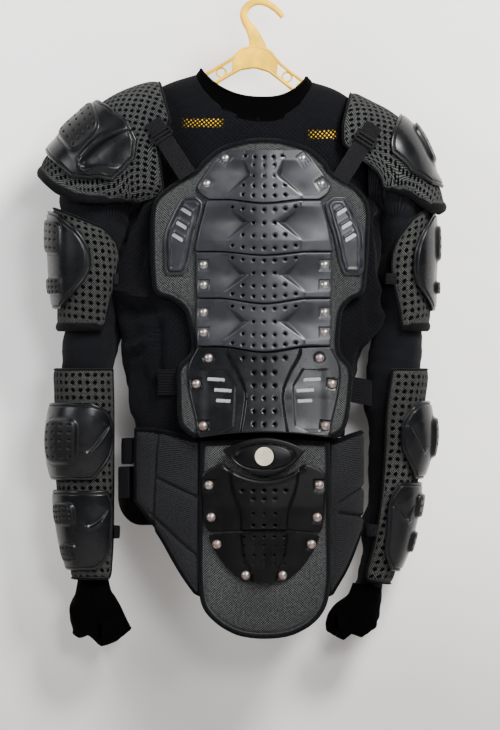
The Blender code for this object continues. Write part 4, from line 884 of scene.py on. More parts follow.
# ---------------------------------------------------------------- plates of the back
# Sunk side panels of the spine plates: their tip towards the spine, the slope there, and their depth.
PANELS = {
    row.plate: row for row in table("plate tip_z centre panel top_z top_x bottom_z bottom_x depth", [
        ("spine_plate_1", -0.2394, 0.0182, 0.0235, -0.2185, 0.028, -0.268, 0.053, 0.0046),
        ("spine_plate_2", -0.3052, 0.0193, 0.029, -0.2835, 0.0515, -0.3301, 0.052, 0.0056),
        ("spine_plate_3", -0.3775, 0.0225, 0.0335, -0.3515, 0.0562, -0.4018, 0.0568, 0.0056),
        ("spine_plate_4", -0.4424, 0.0215, 0.032, -0.4165, 0.0562, -0.468, 0.0568, 0.0056),
    ])
}
# The inner edge of the waist plate's sunk sides, down the plate.
SIDE_RECESS = [(-0.5085, 0.0528), (-0.5314, 0.0395), (-0.556, 0.0402), (-0.5869, 0.042), (-0.599, 0.064)]


def panel_height(form, side, z):
    """The height of a spine plate with sunk panels that come to a point, and the shade painted on it."""
    up = z > form.tip_z
    end_z, end_x = np.where(up, form.top_z, form.bottom_z), np.where(up, form.top_x, form.bottom_x)
    t = np.clip(np.abs(z - form.tip_z) / np.abs(end_z - form.tip_z), 0, 1)
    inner = form.centre + (end_x - form.centre) * t
    outer = form.panel + (end_x - form.panel) * t
    slope = np.clip((side - inner) / np.maximum(outer - inner, 0.0012), 0, 1)
    height = PLATE + PLATE_RAISE - 0.0012 * (side / 0.09) ** 2
    height = height - form.depth * slope * np.cos(t * math.pi / 2) * near(side - form.panel, 0.062)
    height = height + 0.002 * np.sqrt(np.clip(1 - (side / np.maximum(inner, 0.001)) ** 2, 0, 1))
    # Painted shade on the panels' sloped sides, darkest at the tip.
    return height, 0.9 * slope * (1 - t) * near(side - outer, 0.014)


def plate_height(name, x, z, rows, rim):
    """The height of a plate's outer side over its underside, and the shade painted on it."""
    side = np.abs(x)
    shade = 0 * x
    if name in PANELS:
        height, shade = panel_height(PANELS[name], side, z)
    else:
        share = np.clip((rows[0].middle - z) / (rows[0].middle - rows[-1].middle), 0, 1)
        waist = spread([(row.waist,) for row in rows], share)[0]
        height = PLATE + (PLATE_RAISE + 0.0008) * (1 - step(side, waist, waist + 0.004))
        height = height - 0.001 * (side / 0.09) ** 2
    if name == "spine_plate_5":
        limit = np.interp(-z, *zip(*[(-down, edge) for down, edge in SIDE_RECESS]))
        inside = step(side, limit, limit + 0.0018) * step(-z, 0.508, 0.5095) * (1 - step(-z, 0.59, 0.5985))
        height = height - 0.0013 * inside * (1 - step(side, 0.075, 0.092))
        # Painted shade along the inner edge of the waist plate's sunk sides.
        edge = step(side, limit - 0.0006, limit + 0.0006) * (1 - step(side, limit + 0.001, limit + 0.003))
        shade = 0.7 * edge * (inside > 0)
    if name == "tail_plate_1":
        lip = np.maximum(rows[0].middle + (rows[0].edge - rows[0].middle) * (x / 0.06) ** 2 - z, 0)
        height = height + 0.0016 * bell(lip, 0.004, 0.0022) * (side < 0.058)
    for row, sign in mirrored(RIVETS, name):
        if row.form == "round":
            far, upright = np.hypot(x - sign * row.x, z - row.z), (z - row.z) / row.half
        else:
            p, q = turned(x, z, (sign * row.x, row.z), math.radians(sign * row.turn))
            far, upright = np.maximum(np.abs(p), np.abs(q)), (z - row.z) / row.half
        floor = row.depth * (0.62 + 0.38 * np.clip(upright, -1, 1))
        height = height - floor * (1 - step(far, row.half - 0.0009, row.half))
        # Painted shade along the upper wall of each rivet's recess.
        ledge = bell(far, row.half - 0.0008, 0.0008) * step(upright, -0.2, 0.5)
        shade = np.maximum(shade, 0.7 * ledge)
    # The rim rounds off and gets painted shade.
    return height - 0.0017 * near(rim, 0.0026) ** 2, np.maximum(shade, 0.5 * (rim < 0.0012))


def mirrored(rows, plate):
    """A plate's rows of a table, once for each side of the spine."""
    return [(row, sign) for row in rows if row.plate == plate for sign in (-1, 1)]


def snap(x, z, cell, shapes):
    """Moves a grid's points onto the outlines of holes, and says which faces aren't wholly in a hole."""
    inside = np.zeros(x.shape, bool)
    for form, at, size, turn in shapes:
        if form == "round":
            far = np.maximum(np.hypot(x - at[0], z - at[1]), 1e-9)
            off, way_x, way_z = far - size, (x - at[0]) / far, (z - at[1]) / far
        else:
            c, s = math.cos(turn), math.sin(turn)
            p, q = turned(x, z, at, turn)
            by_p, by_q = np.abs(p) - size[0] / 2, np.abs(q) - size[1] / 2
            first = by_p > by_q
            off = np.where(first, by_p, by_q)
            way_p, way_q = np.where(first, np.sign(p), 0.0), np.where(first, 0.0, np.sign(q))
            way_x, way_z = way_p * c - way_q * s, way_p * s + way_q * c
        close = np.abs(off) < SNAP * cell
        x, z = np.where(close, x - off * way_x, x), np.where(close, z - off * way_z, z)
        inside |= off < SNAP * cell
    return x, z, ~(inside[:-1, :-1] & inside[1:, :-1] & inside[:-1, 1:] & inside[1:, 1:])


def plate_holes(name):
    """A plate's holes, as form, middle, size and turn."""
    holes = []
    for row in VENTS:
        for number in range(row.count if row.plate == name else 0):
            offset = number - (row.count - 1) / 2
            drop = 0.0 if name.startswith("tail") else VENT_DIP * (offset / 3) ** 2
            size = SMALL_VENT_RADIUS if name == "tail_plate_2" else VENT_RADIUS
            holes.append(("round", (offset * row.pitch, row.z + drop), size, 0.0))
    for row, sign in mirrored(WAIST_SLOTS, name):
        holes.append(("box", (sign * row.x, row.z), (row.length, WAIST_SLOT_TALL), sign * WAIST_SLOT_TURN))
    return holes


def make_plates(looks, metal_look, pale, hole_shade_look):
    heads, strips = bmesh.new(), bmesh.new()
    for name, rows in PLATES.items():
        tail = name.startswith("tail")
        surface, base = (tail_surface, TAIL_PAD) if tail else (back_surface, BACK_PAD)
        base += PLATE_GAP
        tall = rows[0].middle - rows[-1].middle
        u, v = grid(int(2 * max(row.half for row in rows) / PLATE_CELL), int(tall / PLATE_CELL))
        width, edge, middle, _ = spread(rows, v)
        across = u * 2 - 1
        end = np.minimum(v, 1 - v) * tall
        corner = PLATE_CORNER - np.sqrt(PLATE_CORNER ** 2 - np.maximum(PLATE_CORNER - end, 0) ** 2)
        bow = across * across
        if not tail:
            wave = step(np.abs(across), 0, 0.72)
            bow = wave + (bow - wave) * (v ** 3 if name == "spine_plate_5" else 0)
        x, z = (width - corner) * across, middle + (edge - middle) * bow
        rim = np.minimum((width - corner) * (1 - np.abs(across)), end)
        holes = plate_holes(name)
        x, z, keep = snap(x, z, PLATE_CELL, holes)
        height, shade = plate_height(name, x, z, rows, rim)
        for form, at, size, _ in holes:
            if form == "round":
                height = height - 0.0005 * near(np.hypot(x - at[0], z - at[1]) - size, 0.0011)
        lattice(name + "_look", surface(x, z, base + height), surface(x, z, base - 0.0006), looks[name],
                [name], keep, closed=False, rim=shade, sharp=38)
        # A near-black sheet under each plate: painted shade seen through its vent holes.
        inner_x, inner_z = x[::6, ::6] * 0.93, z[::6, ::6] * 0.93 + z.mean() * 0.07
        lattice(name + "_liner", surface(inner_x, inner_z, base - 0.0002),
                surface(inner_x, inner_z, base - 0.0006), hole_shade_look)
        for row, sign in mirrored(RIVETS, name):
            rivet_head(heads, surface, sign * row.x, row.z, base + PLATE)
        for row, sign in mirrored(WAIST_SLOTS, name):
            def place(a, b):
                lift = BACK_PAD + 0.0014 + 0.001 * (1 - (2 * b) ** 2)
                return point_on(back_surface, sign * row.x + a * (row.length + 0.003),
                                row.z + b * (WAIST_SLOT_TALL + 0.003), lift)

            patch(strips, 12, place)
    from_bmesh("rivet_heads", heads, metal_look)
    from_bmesh("slot_cloth", strips, pale)


# A rivet's dome over its thin flange: heights, and radii as a share of the flange's.
RIVET_DOME = [
    (0, 1), (0.0014, 1), (0.002, 0.93), (0.0032, 0.76), (0.0042, 0.5), (0.0047, 0.22), (0.0048, 0.0345)]
RIVET_SIDES = 22
DISC_SIDES = 48


def rivet_head(bm, surface, x, z, lift):
    foot = point_on(surface, x, z, lift - 0.0012)
    turn = Vector((1.2 * x, -1, 0)).normalized().to_track_quat("Z", "Y").to_matrix().to_4x4()
    place = Matrix.Translation(foot) @ turn
    skin(bm, [[place @ Vector((a, b, height)) for a, b in circle(RIVET_RADIUS * share, RIVET_SIDES)]
              for height, share in RIVET_DOME], foot=False)


# The blade plates' edge: distance in from the rim, and height over the plate.
BLADE_EDGE = [
    (0, -0.0012), (0.0014, 0), (0.0032, 0.0002), (0.004, -0.0014), (0.0052, -0.0014), (0.0064, 0.0018),
    (0.0092, 0.002), (0.0106, 0.0004), (0.03, 0.0002)]


def make_blade_plates(material, pale):
    length, wide, slant = BLADE_SLOT
    base = BACK_PAD + CLEARANCE
    for side in ARMS:
        u, v = grid(38, 92)
        inner, outer, z = spread(BLADE_RIBS, v)
        x = SIDE[side] * (inner + (outer - inner) * u)
        rim = rim_distance(back_surface(x, z))
        turn = SIDE[side] * (math.pi / 2 - slant)
        slots = [(SIDE[side] * row.x, row.z) for row in BLADE_SLOTS]
        x, z, keep = snap(x, z, BLADE_CELL, [("box", at, (length, wide), turn) for at in slots])
        height = PLATE * 0.9 + profile(rim, *BLADE_EDGE)
        strips = bmesh.new()
        for at in slots:
            p, q = turned(x, z, at, turn)
            beside = 1 - step(np.abs(p), length / 2, length / 2 + 0.002)
            height = height + 0.0014 * beside * bell(q, 0.0042, 0.0022)

            def place(a, b):
                p, q = a * (length + 0.002), wide * (0.86 * b - 0.1)
                c, s = math.cos(turn), math.sin(turn)
                return point_on(back_surface, at[0] + p * c - q * s, at[1] + p * s + q * c,
                                base + 0.003 + 0.0008 * (0.5 - b))

            patch(strips, 10, place)
        name = f"blade_plate_{side}"
        lattice(name + "_look", back_surface(x, z, base + height), back_surface(x, z, base), material,
                [name], keep, closed=False, sharp=40)
        from_bmesh(f"blade_slot_strips_{side}", strips, pale)


# The disc's face as share of its radius and fall from its front: a shallow groove near a rounded edge.
DISC_FACE = [
    (0.002, 0), (0.55, 0.0002), (0.8, 0.0001), (0.84, -0.0003), (0.88, 0.0001), (0.97, 0), (1, -0.0005),
    (1, -0.0014)]


def make_badge(material, cream):
    u, v = grid(104, 46)
    across = u * 2 - 1
    bow = 1 - across * across
    top = LENS_TIPS + (LENS_TOP - LENS_TIPS) * bow
    bottom = LENS_TIPS + (LENS_BOTTOM - LENS_TIPS) * bow - 0.0015
    x, z = LENS_HALF * across, top + (bottom - top) * v
    oval = np.sqrt((x / BOSS_HALF) ** 2 + ((z - BOSS_Z) / BOSS_TALL) ** 2)
    rim = rim_distance(stack(x, 0 * x, z))
    dome = BOSS_RAISE * np.sqrt(np.clip(1.02 - oval * oval, 0, 1)) + 0.0004 * (oval < 0.97)
    height = PLATE + dome - 0.0011 * bell(oval, 1.04, 0.05) - 0.0016 * near(rim, 0.002) ** 2
    seat = 1 - step(np.hypot(x, z - BOSS_Z), DISC_RADIUS - 0.0002, DISC_RADIUS + 0.0014)
    height = height * (1 - seat) + (PLATE + BOSS_RAISE - 0.0002) * seat
    y = TAIL_Y + BACK_BOW * x * x - BADGE_BASE
    lattice("lumbar_badge_look", stack(x, y - height, z), stack(x, y + 0.0008, z), material,
            ["lumbar_badge"], closed=False, sharp=40)
    disc = bmesh.new()
    front = TAIL_Y - BADGE_BASE - PLATE - BOSS_RAISE - CLEARANCE - DISC_THICK
    skin(disc, [[(a, front - rise, BOSS_Z + b) for a, b in circle(DISC_RADIUS * share, DISC_SIDES)]
                for share, rise in DISC_FACE])
    from_bmesh("badge_disc_look", disc, cream, ["badge_disc"])


# ---------------------------------------------------------------- pads
SOFT_HEM = 0.3  # how far along its profile a loose lower edge gets, as a share
# Bound edges: distance in from the rim, and height as a share of the pad's thickness.
BACK_PAD_EDGE = [
    (0, 0.4), (0.0015, 0.78), (0.004, 0.92), (0.0066, 0.8), (0.0082, 0.58), (0.012, 0.82), (0.02, 0.94),
    (0.05, 0.96)]
ARM_PAD_EDGE = [
    (0, 0.55), (0.0008, 0.86), (0.0018, 0.98), (0.003, 0.92), (0.0038, 0.72), (0.006, 0.9), (0.014, 1.04),
    (0.05, 1.1)]


def make_back_pads(material):
    for name, rows, surface, thick, cells in (("back_pad", BACK_RIBS, back_surface, BACK_PAD, (96, 150)),
                                              ("tail_pad", TAIL_RIBS, tail_surface, TAIL_PAD, (84, 96))):
        u, v = grid(*cells)
        left, right, edge, middle = spread(rows, v)
        across = u * 2 - 1
        x = np.where(across > 0, right, left) * across
        z = middle + (edge - middle) * across * across
        flat = surface(x, z)
        rim = rim_distance(flat)
        high = thick * profile(rim, *BACK_PAD_EDGE)
        high = high + 0.0006 * turbulence(flat, 0.02) * np.clip(rim / 0.01, 0, 1)
        high = high + 0.0007 * turbulence(flat, 0.004, 5.0) * (rim < 0.0078)
        piece = lattice(name + "_look", surface(x, z, high), flat, material, [name], rim=rim)


def make_arm_pads(arm_mesh, shoulder_mesh):
    for entry in ARM_PADS:
        material = shoulder_mesh if entry.name == "shoulder_pad" else arm_mesh
        hem = 1.0 if entry.name == "forearm_pad" else SOFT_HEM
        for side in ARMS:
            section, angle = outline_spot(entry, side)
            low = pad_lift(entry.name, side, section, angle)
            flat = arm_point(side, section, angle, low)
            rim = rim_distance(flat)
            foot = np.linalg.norm(flat - flat[-1][None], axis=-1)
            shown = rim * (1 - (1 - hem) * (1 - step(foot - rim, 0.0004, 0.006)))
            high = PAD * profile(shown, *ARM_PAD_EDGE)
            high = high + 0.001 * turbulence(flat, 0.03, 2.0) * np.clip(rim / 0.012, 0, 1)
            name = f"{entry.name}_{side}"
            piece = lattice(name + "_look", arm_point(side, section, angle, low + high), flat, material,
                            [name], rim=shown)


# ---------------------------------------------------------------- shells on the arms
# Creases sunk into the shells: points by the angle off the shell's facing and by section.
CREASES = {
    ("shoulder_shell", "left"): [
        (-31.6, 1.33), (-29.7, 2.02), (-26.8, 2.65), (-25.3, 3.07), (-25.3, 3.51), (-26.8, 3.71)],
    ("elbow_shell", "left"): [(-72, 10.44), (-60, 10.68), (-51, 10.88), (-42, 11.06)],
    ("elbow_shell", "right"): [(-68, 10.46), (-58, 10.68), (-50, 10.86), (-44, 11.02)],
    ("forearm_shell", "left"): [(-66, 12.22), (-56, 12.4), (-48, 12.5), (-38, 12.58)],
    ("forearm_shell", "right"): [(-68, 12.14), (-58, 12.26), (-48, 12.36), (-40, 12.4)],
}
CREASE_DEPTH = 0.0046
SHOULDER_CREASE_DEPTH = 0.008
# The ridge under the shoulder's crease, in the same way.
FANG = [(-23.4, 3.65), (-28.2, 3.78), (-34.1, 3.72), (-39, 3.38), (-44.3, 3.01), (-49.7, 2.57), (-54, 2.15)]
DIMPLE = 0.0019
DIMPLE_DEPTH = 0.0024
DIMPLE_WIDE = 0.055      # metres to a radian round a shell, where its dimples are
DIMPLE_TALL = 0.062      # metres to a section


def off_line(side, entry, rows, section, angle):
    """Distance from a line in metres, the place along it from 0 to 1, and the angle and section past it."""
    offs, sections = along(rows, np.linspace(0, len(rows) - 1, LINE_POINTS))
    off = angle - facing(entry, side)
    line = arm_point(side, sections, facing(entry, side) + offs, PAD + GAP)
    away, which = nearest(arm_point(side, section, angle, PAD + GAP), line)
    return away, which / (LINE_POINTS - 1), off - offs[which], section - sections[which]


def crease(entry, side, section, angle):
    """What the creases add to a shell's height, and the shade painted in and under them."""
    away, place, ahead, beyond = off_line(side, entry, CREASES[entry.name, side], section, angle)
    taper = np.sin(np.pi * np.clip(place, 0.02, 0.98)) ** 0.6
    if entry.name != "shoulder_shell":
        floor = np.where(beyond < 0, np.exp(-away / 0.011), bell(away, 0, 0.0016))
        ridge = bell(away, 0.003, 0.0018) * (beyond > 0) * step(place, 0.25, 0.7)
        # Painted shade in the crease and on its sunk floor.
        shade = np.where(beyond < 0, np.exp(-away / 0.0035), bell(away, 0, 0.0012)) * taper
        return 0.002 * ridge - CREASE_DEPTH * floor * taper, 0.75 * shade
    width = 0.001 + 0.005 * np.sin(np.pi * np.clip(place, 0, 1)) ** 1.3
    floor = np.where(ahead < 0, np.exp(-away / 0.012), bell(away, 0, 0.0014))
    ridge = bell(away, 0.004, 0.004) * (ahead > 0) * taper
    low, high = np.where(ahead < 0, 0.6 * width, 0.0006), np.where(ahead < 0, 1.1 * width, 0.0016)
    # Painted shade in the shoulder's crease.
    shade = (1 - step(away, low, high)) * taper
    away, place, _, past = off_line(side, entry, FANG, section, angle)
    fang_taper = np.sin(np.pi * np.clip(0.12 + 0.86 * place, 0, 1)) ** 0.7
    fang = np.where(past > 0, bell(away, 0, 0.0042), bell(away, 0, 0.003)) * fang_taper
    # Painted shade below the fang's ridge.
    under = bell(away, 0.0075, 0.003) * (past > 0) * fang_taper
    return (0.0026 * ridge + 0.0044 * fang - SHOULDER_CREASE_DEPTH * floor * taper,
            np.maximum(shade, 0.5 * under))


def raised_blocks(entry, side, section, off):
    """What the raised blocks add to a shell's height, and the shade painted on their tops, round their feet
    and in their dimples.
    """
    high, shade = 0 * off, 0 * off
    for raised in BLOCKS:
        if (raised.shell, raised.side) != (entry.name, side):
            continue
        wrap, half, across, down = raised.wrap, raised.half_length, raised.across, raised.down
        a, b = (off - raised.off) / wrap, (section - raised.section) / half
        far = (np.abs(a) ** 5 + np.abs(b) ** 5) ** 0.2
        high = high + raised.height * (1 - 0.1 * (a * a + b * b)) * (1 - step(far, 0.86, 1.04))
        # Painted shade on the block's top and round its foot.
        shade = np.maximum(shade, 0.45 * (1 - step(far, 0.9, 0.98)))
        shade = np.maximum(shade, 0.6 * bell(far, 1.05, 0.04))
        wide, tall = 1.75 * wrap / across, 1.75 * half / down
        p, q = a * wrap / wide + (across % 2 == 0) * 0.5, b * half / tall + (down % 2 == 0) * 0.5
        radius = np.hypot((p - np.round(p)) * wide * math.radians(DIMPLE_WIDE),
                          (q - np.round(q)) * tall * DIMPLE_TALL)
        dent = (1 - step(radius, DIMPLE * 0.6, DIMPLE * 1.1)) * (far < 0.88)
        # Painted shade in each dimple.
        high, shade = high - DIMPLE_DEPTH * dent, np.maximum(shade, dent)
    return high, shade


# The shells' edge, with a groove along it: distance in from the rim, and height over the shell.
SHELL_EDGE = [
    (0, -0.0016), (0.0012, -0.0002), (0.003, 0), (0.004, -0.0014), (0.005, -0.0014), (0.0064, 0.0004),
    (0.03, 0.0008)]


def make_arm_shells(material):
    for entry in ARM_SHELLS:
        for side in ARMS:
            section, angle = outline_spot(entry, side)
            low = shell_lift(entry, side, section, angle)
            under = arm_point(side, section, angle, low)
            rim = rim_distance(under)
            high = SHELL + profile(rim, *SHELL_EDGE)
            # Painted shade in the groove along the shell's edge.
            shade = 0.85 * bell(rim, 0.0045, 0.001)
            parts = [raised_blocks(entry, side, section, angle - facing(entry, side))]
            if (entry.name, side) in CREASES:
                parts.insert(0, crease(entry, side, section, angle))
            for rise, dark in parts:
                high, shade = high + rise, np.maximum(shade, dark)
            name = f"{entry.name}_{side}"
            lattice(name + "_look", arm_point(side, section, angle, low + high), under, material,
                    [name], closed=False, rim=shade, sharp=60)


# ---------------------------------------------------------------- cloth
def cut(piece, cutter):
    """Takes a closed shape out of a piece."""
    tool = linked("cutter", cutter)
    made = piece.modifiers.new("cut", "BOOLEAN")
    made.operation = "DIFFERENCE"
    made.solver = "EXACT"
    made.object = tool
    result = bpy.data.meshes.new_from_object(piece.evaluated_get(bpy.context.evaluated_depsgraph_get()))
    piece.modifiers.clear()
    piece.data = result
    bpy.data.objects.remove(tool)


def armhole(side):
    """What the body leaves out for a sleeve: a tube just round the sleeve, wider under the arm."""
    u, v = grid(60, 40, wrap=True)
    open_side = step(np.sin(2 * np.pi * u), -0.95, -0.2)
    points = arm_point(side, SLEEVE_START - 0.05 + 5.15 * v, u * 360, 3 * CLEARANCE + 0.03 * open_side)
    bm = bmesh.new()
    skin(bm, (points + (SPINE_X, 0, 0)).tolist())
    mesh = bpy.data.meshes.new("armhole")
    bm.to_mesh(mesh)
    return mesh


# Folds and seams of the body fabric on either side of the back pad: the ends of a line, reach and height.
BODY_FOLDS = [
    (-0.151, -0.262, -0.198, -0.392, 0.009, 0.006), (-0.196, -0.398, -0.162, -0.408, 0.006, 0.007),
    (-0.19, -0.428, -0.16, -0.424, 0.011, -0.009), (-0.172, -0.26, -0.186, -0.33, 0.006, -0.005),
    (-0.162, -0.32, -0.178, -0.38, 0.005, -0.0045), (-0.205, -0.424, -0.165, -0.515, 0.002, 0.0016),
    (-0.199, -0.424, -0.159, -0.515, 0.002, 0.0016), (-0.15, -0.45, -0.15, -0.525, 0.008, -0.006),
    (-0.18, -0.5, -0.176, -0.56, 0.007, 0.006), (-0.166, -0.47, -0.19, -0.48, 0.006, 0.005),
    (0.15, -0.3, 0.16, -0.42, 0.008, -0.008), (0.141, -0.27, 0.149, -0.4, 0.006, 0.005),
    (0.16, -0.43, 0.14, -0.47, 0.007, 0.006), (0.15, -0.47, 0.15, -0.52, 0.007, -0.006),
    (0.16, -0.29, 0.162, -0.425, 0.022, 0.0085), (-0.194, -0.295, -0.204, -0.42, 0.02, 0.006),
]


def make_body(material):
    u, v = grid(200, 100, wrap=True)
    angle = (u - 0.5) * 2 * np.pi
    row = spread(BODY, v)
    bare = ring_point(row, angle)
    x, y, z = np.moveaxis(bare, -1, 0)
    free = step(np.abs(np.sin(angle)), 0.8, 0.97) * step(-z, 0.27, 0.34)
    creases = turbulence(stack(x * 1.6, y, z * 0.55 + 0.4 * x), 0.026)
    fine = turbulence(bare, 0.009, 3.0)
    lift = fold_depth(angle, z) + free * (0.0085 * creases - 0.004 * np.abs(creases) + 0.0012 * fine)
    lift = lift - (1 - free) * 0.0006 * (1 + fine)
    behind = step(np.cos(angle), -0.25, 0.05)
    for *ends, reach, height in BODY_FOLDS:
        lift = lift + behind * 1.4 * height * bell(line_distance(x, z, *ends), 0, reach)
    hem = stack(0 * v, 0 * v, BODY_HEM * step(v, 0.9, 1.0))
    under = ring_point(row, angle, lift - CLOTH_WALL) - hem
    body = lattice("body_look", ring_point(row, angle, lift) - hem, under, material, ["body"],
                   wrap=True)
    for side in ARMS:
        cut(body, armhole(side))


# The sleeves' loose cloth hangs out towards the body by this much, times shares by section.
FULLNESS = 0.014
FULL_AT = {
    "left": ((2.8, 4.0, 8.6, 9.3), (0.0, 1.0, 1.0, 0.0)),
    "right": ((2.8, 4.0, 10.0, 10.5, 12.2, 12.6, 13.6), (0.0, 1.0, 1.0, 0.3, 0.3, 0.9, 0.0)),
}


def make_sleeves(material):
    u, v = grid(80, 130, wrap=True)
    angle = u * 360
    for side in ARMS:
        section = SLEEVE_START + (len(ARM[side]) - 1 - SLEEVE_START) * v
        bare = arm_point(side, section, angle)
        folds = turbulence(bare * (0.6, 0.6, 1.7), 0.026, 7.0)
        lift = 0.0026 * folds - 0.0006 + 0.0006 * turbulence(bare, 0.008, 1.0)
        lift = lift + FULLNESS * bell(angle, 270, 30) * np.interp(section, *FULL_AT[side])
        sleeve = lattice(f"sleeve_{side}_look", arm_point(side, section, angle, lift),
                         arm_point(side, section, angle, lift - CLOTH_WALL), material,
                         [f"sleeve_{side}"], wrap=True)


def make_collar(material):
    u, v = grid(160, 20, wrap=True)
    angle = (u - 0.5) * 2 * np.pi
    row = spread(COLLAR, v)
    foot = near(v, 0.14)
    bead = 0.001 * bell(v, 0.86, 0.1) - 0.0007 * bell(v, 0.74, 0.03)
    lift = bead + 0.0006 * turbulence(ring_point(row, angle), 0.02) + 0.0016 * foot
    drop = stack(0 * v, 0 * v, 0.0055 * foot)
    under = ring_point(row, angle, lift - COLLAR_WALL) - drop
    collar = lattice("collar_look", ring_point(row, angle, lift) - drop, under, material,
                     ["collar"], wrap=True)


# How far each cuff's hem hangs below its plain ring, by place across.
HEMS = {
    "left": ((-0.265, -0.247, -0.239, -0.23, -0.208, -0.185),
             (0.006, -0.0049, 0.0015, 0.0094, 0.0058, -0.0039)),
    "right": ((0.095, 0.11, 0.124, 0.138, 0.152), (0.003, 0.006, -0.002, 0.0045, -0.003)),
}


def make_cuffs(material):
    u, v = grid(72, 44, wrap=True)
    sine, cosine = np.sin(u * 2 * np.pi), np.cos(u * 2 * np.pi)
    round_x, round_y = power(sine, CUFF_SQUARENESS), power(cosine, CUFF_SQUARENESS)
    swing = stack(sine * 1.4, cosine * 1.4, v * 0.6)
    loose = np.clip((v - 0.45) / 0.55, 0, 1) ** 1.5
    for side in ARMS:
        x, z, half, depth, y, dip = spread(CUFF[side], v)
        z = z - loose * np.interp(x + half * round_x, *HEMS[side])
        z = z + 0.011 * near(v, 0.1) + 0.0035 * v * v * turbulence(swing, 1.0, 4.0 * SIDE[side])

        def ring(lift):
            return stack(x + (half + lift) * round_x, y - (depth + lift) * round_y,
                         z - dip * (1 - sine * sine))

        ribs = 0.006 * v ** 0.6 * turbulence(ring(0) * (1, 1, 0.5), 0.013, 2.0) - 0.001 * v
        ribs = ribs + 0.0008 * bell(v, 0.93, 0.04)
        cuff = lattice(f"cuff_{side}_look", ring(ribs), ring(ribs - CUFF_WALL), material,
                       [f"cuff_{side}"], wrap=True)
        at_x, at_z = THUMB_SLIT[side]
        slit = bmesh.new()
        block(slit, THUMB_SLIT_SIZE, (at_x + SPINE_X, CUFF[side][-1].y - 0.03, at_z))
        mesh = bpy.data.meshes.new("slit")
        slit.to_mesh(mesh)
        cut(cuff, mesh)


def make_zip(material):
    u, v = grid(8, 90)
    row = along(BODY, 0.35 + v * 9.4)
    angle = np.pi + (u - 0.5) * ZIP_WIDTH / row[7]
    bare = ring_point(row, angle)
    lift = fold_depth(angle, bare[..., 2])
    puff = 0.004 - 0.0012 * np.abs(2 * u - 1) ** 4 + 0.0002 * turbulence(bare, 0.02)
    lattice("front_zip_look", ring_point(row, angle, lift + puff), ring_point(row, angle, lift + 0.0015),
            material, ["front_zip"])


def ribbon(name, place, columns, rows, thick, material):
    """A band whose place gives its points by u, v and lift, with rolled edges and a slight ripple."""
    u, v = grid(columns, rows)
    base = place(u, v, 0.0)
    roll = thick - 0.0006 * (np.abs(2 * v - 1) ** 6) + 0.00025 * turbulence(base, 0.015)
    lattice(name + "_look", place(u, v, roll), base, material, [name], rim=rim_distance(base))


def make_bands(webbing_look, elastic_look):
    for entry in ARM_BANDS:
        pad = next(row for row in ARM_PADS if row.name == entry.pad)
        wrap = min(row.wrap for row in PAD_OUTLINE[entry.pad] if abs(row.section - entry.section) < 1.0)
        for side in ARMS:
            start, end = facing(pad, side) + wrap - 8, facing(pad, side) + 360 - wrap + 8

            def place(u, v, lift):
                over_pad = 1 - step(np.minimum(u, 1 - u) * (end - start), 22, 52)
                low = GAP / 2 + (PAD + GAP) * over_pad
                section = entry.section + (v * 2 - 1) * entry.half_length
                return arm_point(side, section, start + (end - start) * u, low + lift)

            ribbon(f"{entry.name}_{side}", place, 72, 10, WEBBING * 0.7, webbing_look)
    start = belt_angle("left", WINGS["left"][-1].x) - math.radians(3)
    end = belt_angle("right", WINGS["right"][-1].x) + math.radians(3) - 2 * math.pi
    for entry in BELT_STRAPS:
        def place(u, v, lift):
            drop = entry.drop * step(u, 0.06, 0.3) * step(1 - u, 0.06, 0.3)
            z = entry.top + (entry.bottom - drop - entry.top) * v
            return belt_point(start + (end - start) * u, z, entry.stand_off * (1 - u) + lift)

        ribbon(entry.name, place, 150, 12, WEBBING, elastic_look)
    for entry in WAIST_BANDS:
        def place(u, v, lift):
            x = entry.start + (entry.end - entry.start) * u
            z = entry.z - WAIST_BAND_TALL * (v - 0.5) - entry.drop * u
            half = BELT_LEFT - 0.012 if entry.side == "left" else BELT_RIGHT + 0.022
            bow = 1 - np.sqrt(np.maximum(1 - (np.abs(x) / half) ** 2.6, 0.0))
            gather = 0.0006 * np.sin(v * 60)
            return stack(x, WAIST_BAND_Y + 0.055 * bow - lift - (lift > 0) * gather, z)

        ribbon(f"waist_band_{entry.side}", place, 36, 44, WEBBING, elastic_look)


# Quilting seams across the belt's wings: x and z of their ends.
SEAMS = {
    "left": [
        (0.1484, -0.659, 0.0885, -0.689), (0.1565, -0.7095, 0.094, -0.768), (0.1475, -0.6, 0.155, -0.74)],
    "right": [
        (0.1035, -0.695, 0.148, -0.666), (0.1035, -0.709, 0.148, -0.716), (0.1445, -0.6, 0.14, -0.74)],
}
# The wings' bound edge, like the pads'.
WING_EDGE = [(0, 0.42), (0.0014, 0.72), (0.0034, 0.84), (0.0056, 0.62), (0.012, 0.86), (0.03, 0.98)]


def make_wings(material):
    for side in ARMS:
        u, v = grid(66, 110)
        x, top, bottom = spread(WINGS[side], u)
        z = top + (bottom - top) * v
        x = x - 0.0075 * np.clip(1 - 14 * u, 0, 1)
        flat = belt_point(belt_angle(side, x), z)
        rim = rim_distance(flat)
        seam = np.min([line_distance(x, z, *ends) for ends in SEAMS[side]], axis=0)
        high = BELT_PAD * profile(rim, *WING_EDGE)
        high = high - 0.0034 * bell(seam, 0, 0.003) - 0.0014 * bell(seam, 0, 0.0011)
        high = np.maximum(high + 0.0008 * turbulence(flat, 0.028), 0.002)
        wing = lattice(f"belt_wing_{side}_look", belt_point(belt_angle(side, x), z, high), flat, material,
                       [f"belt_wing_{side}"], rim=rim)


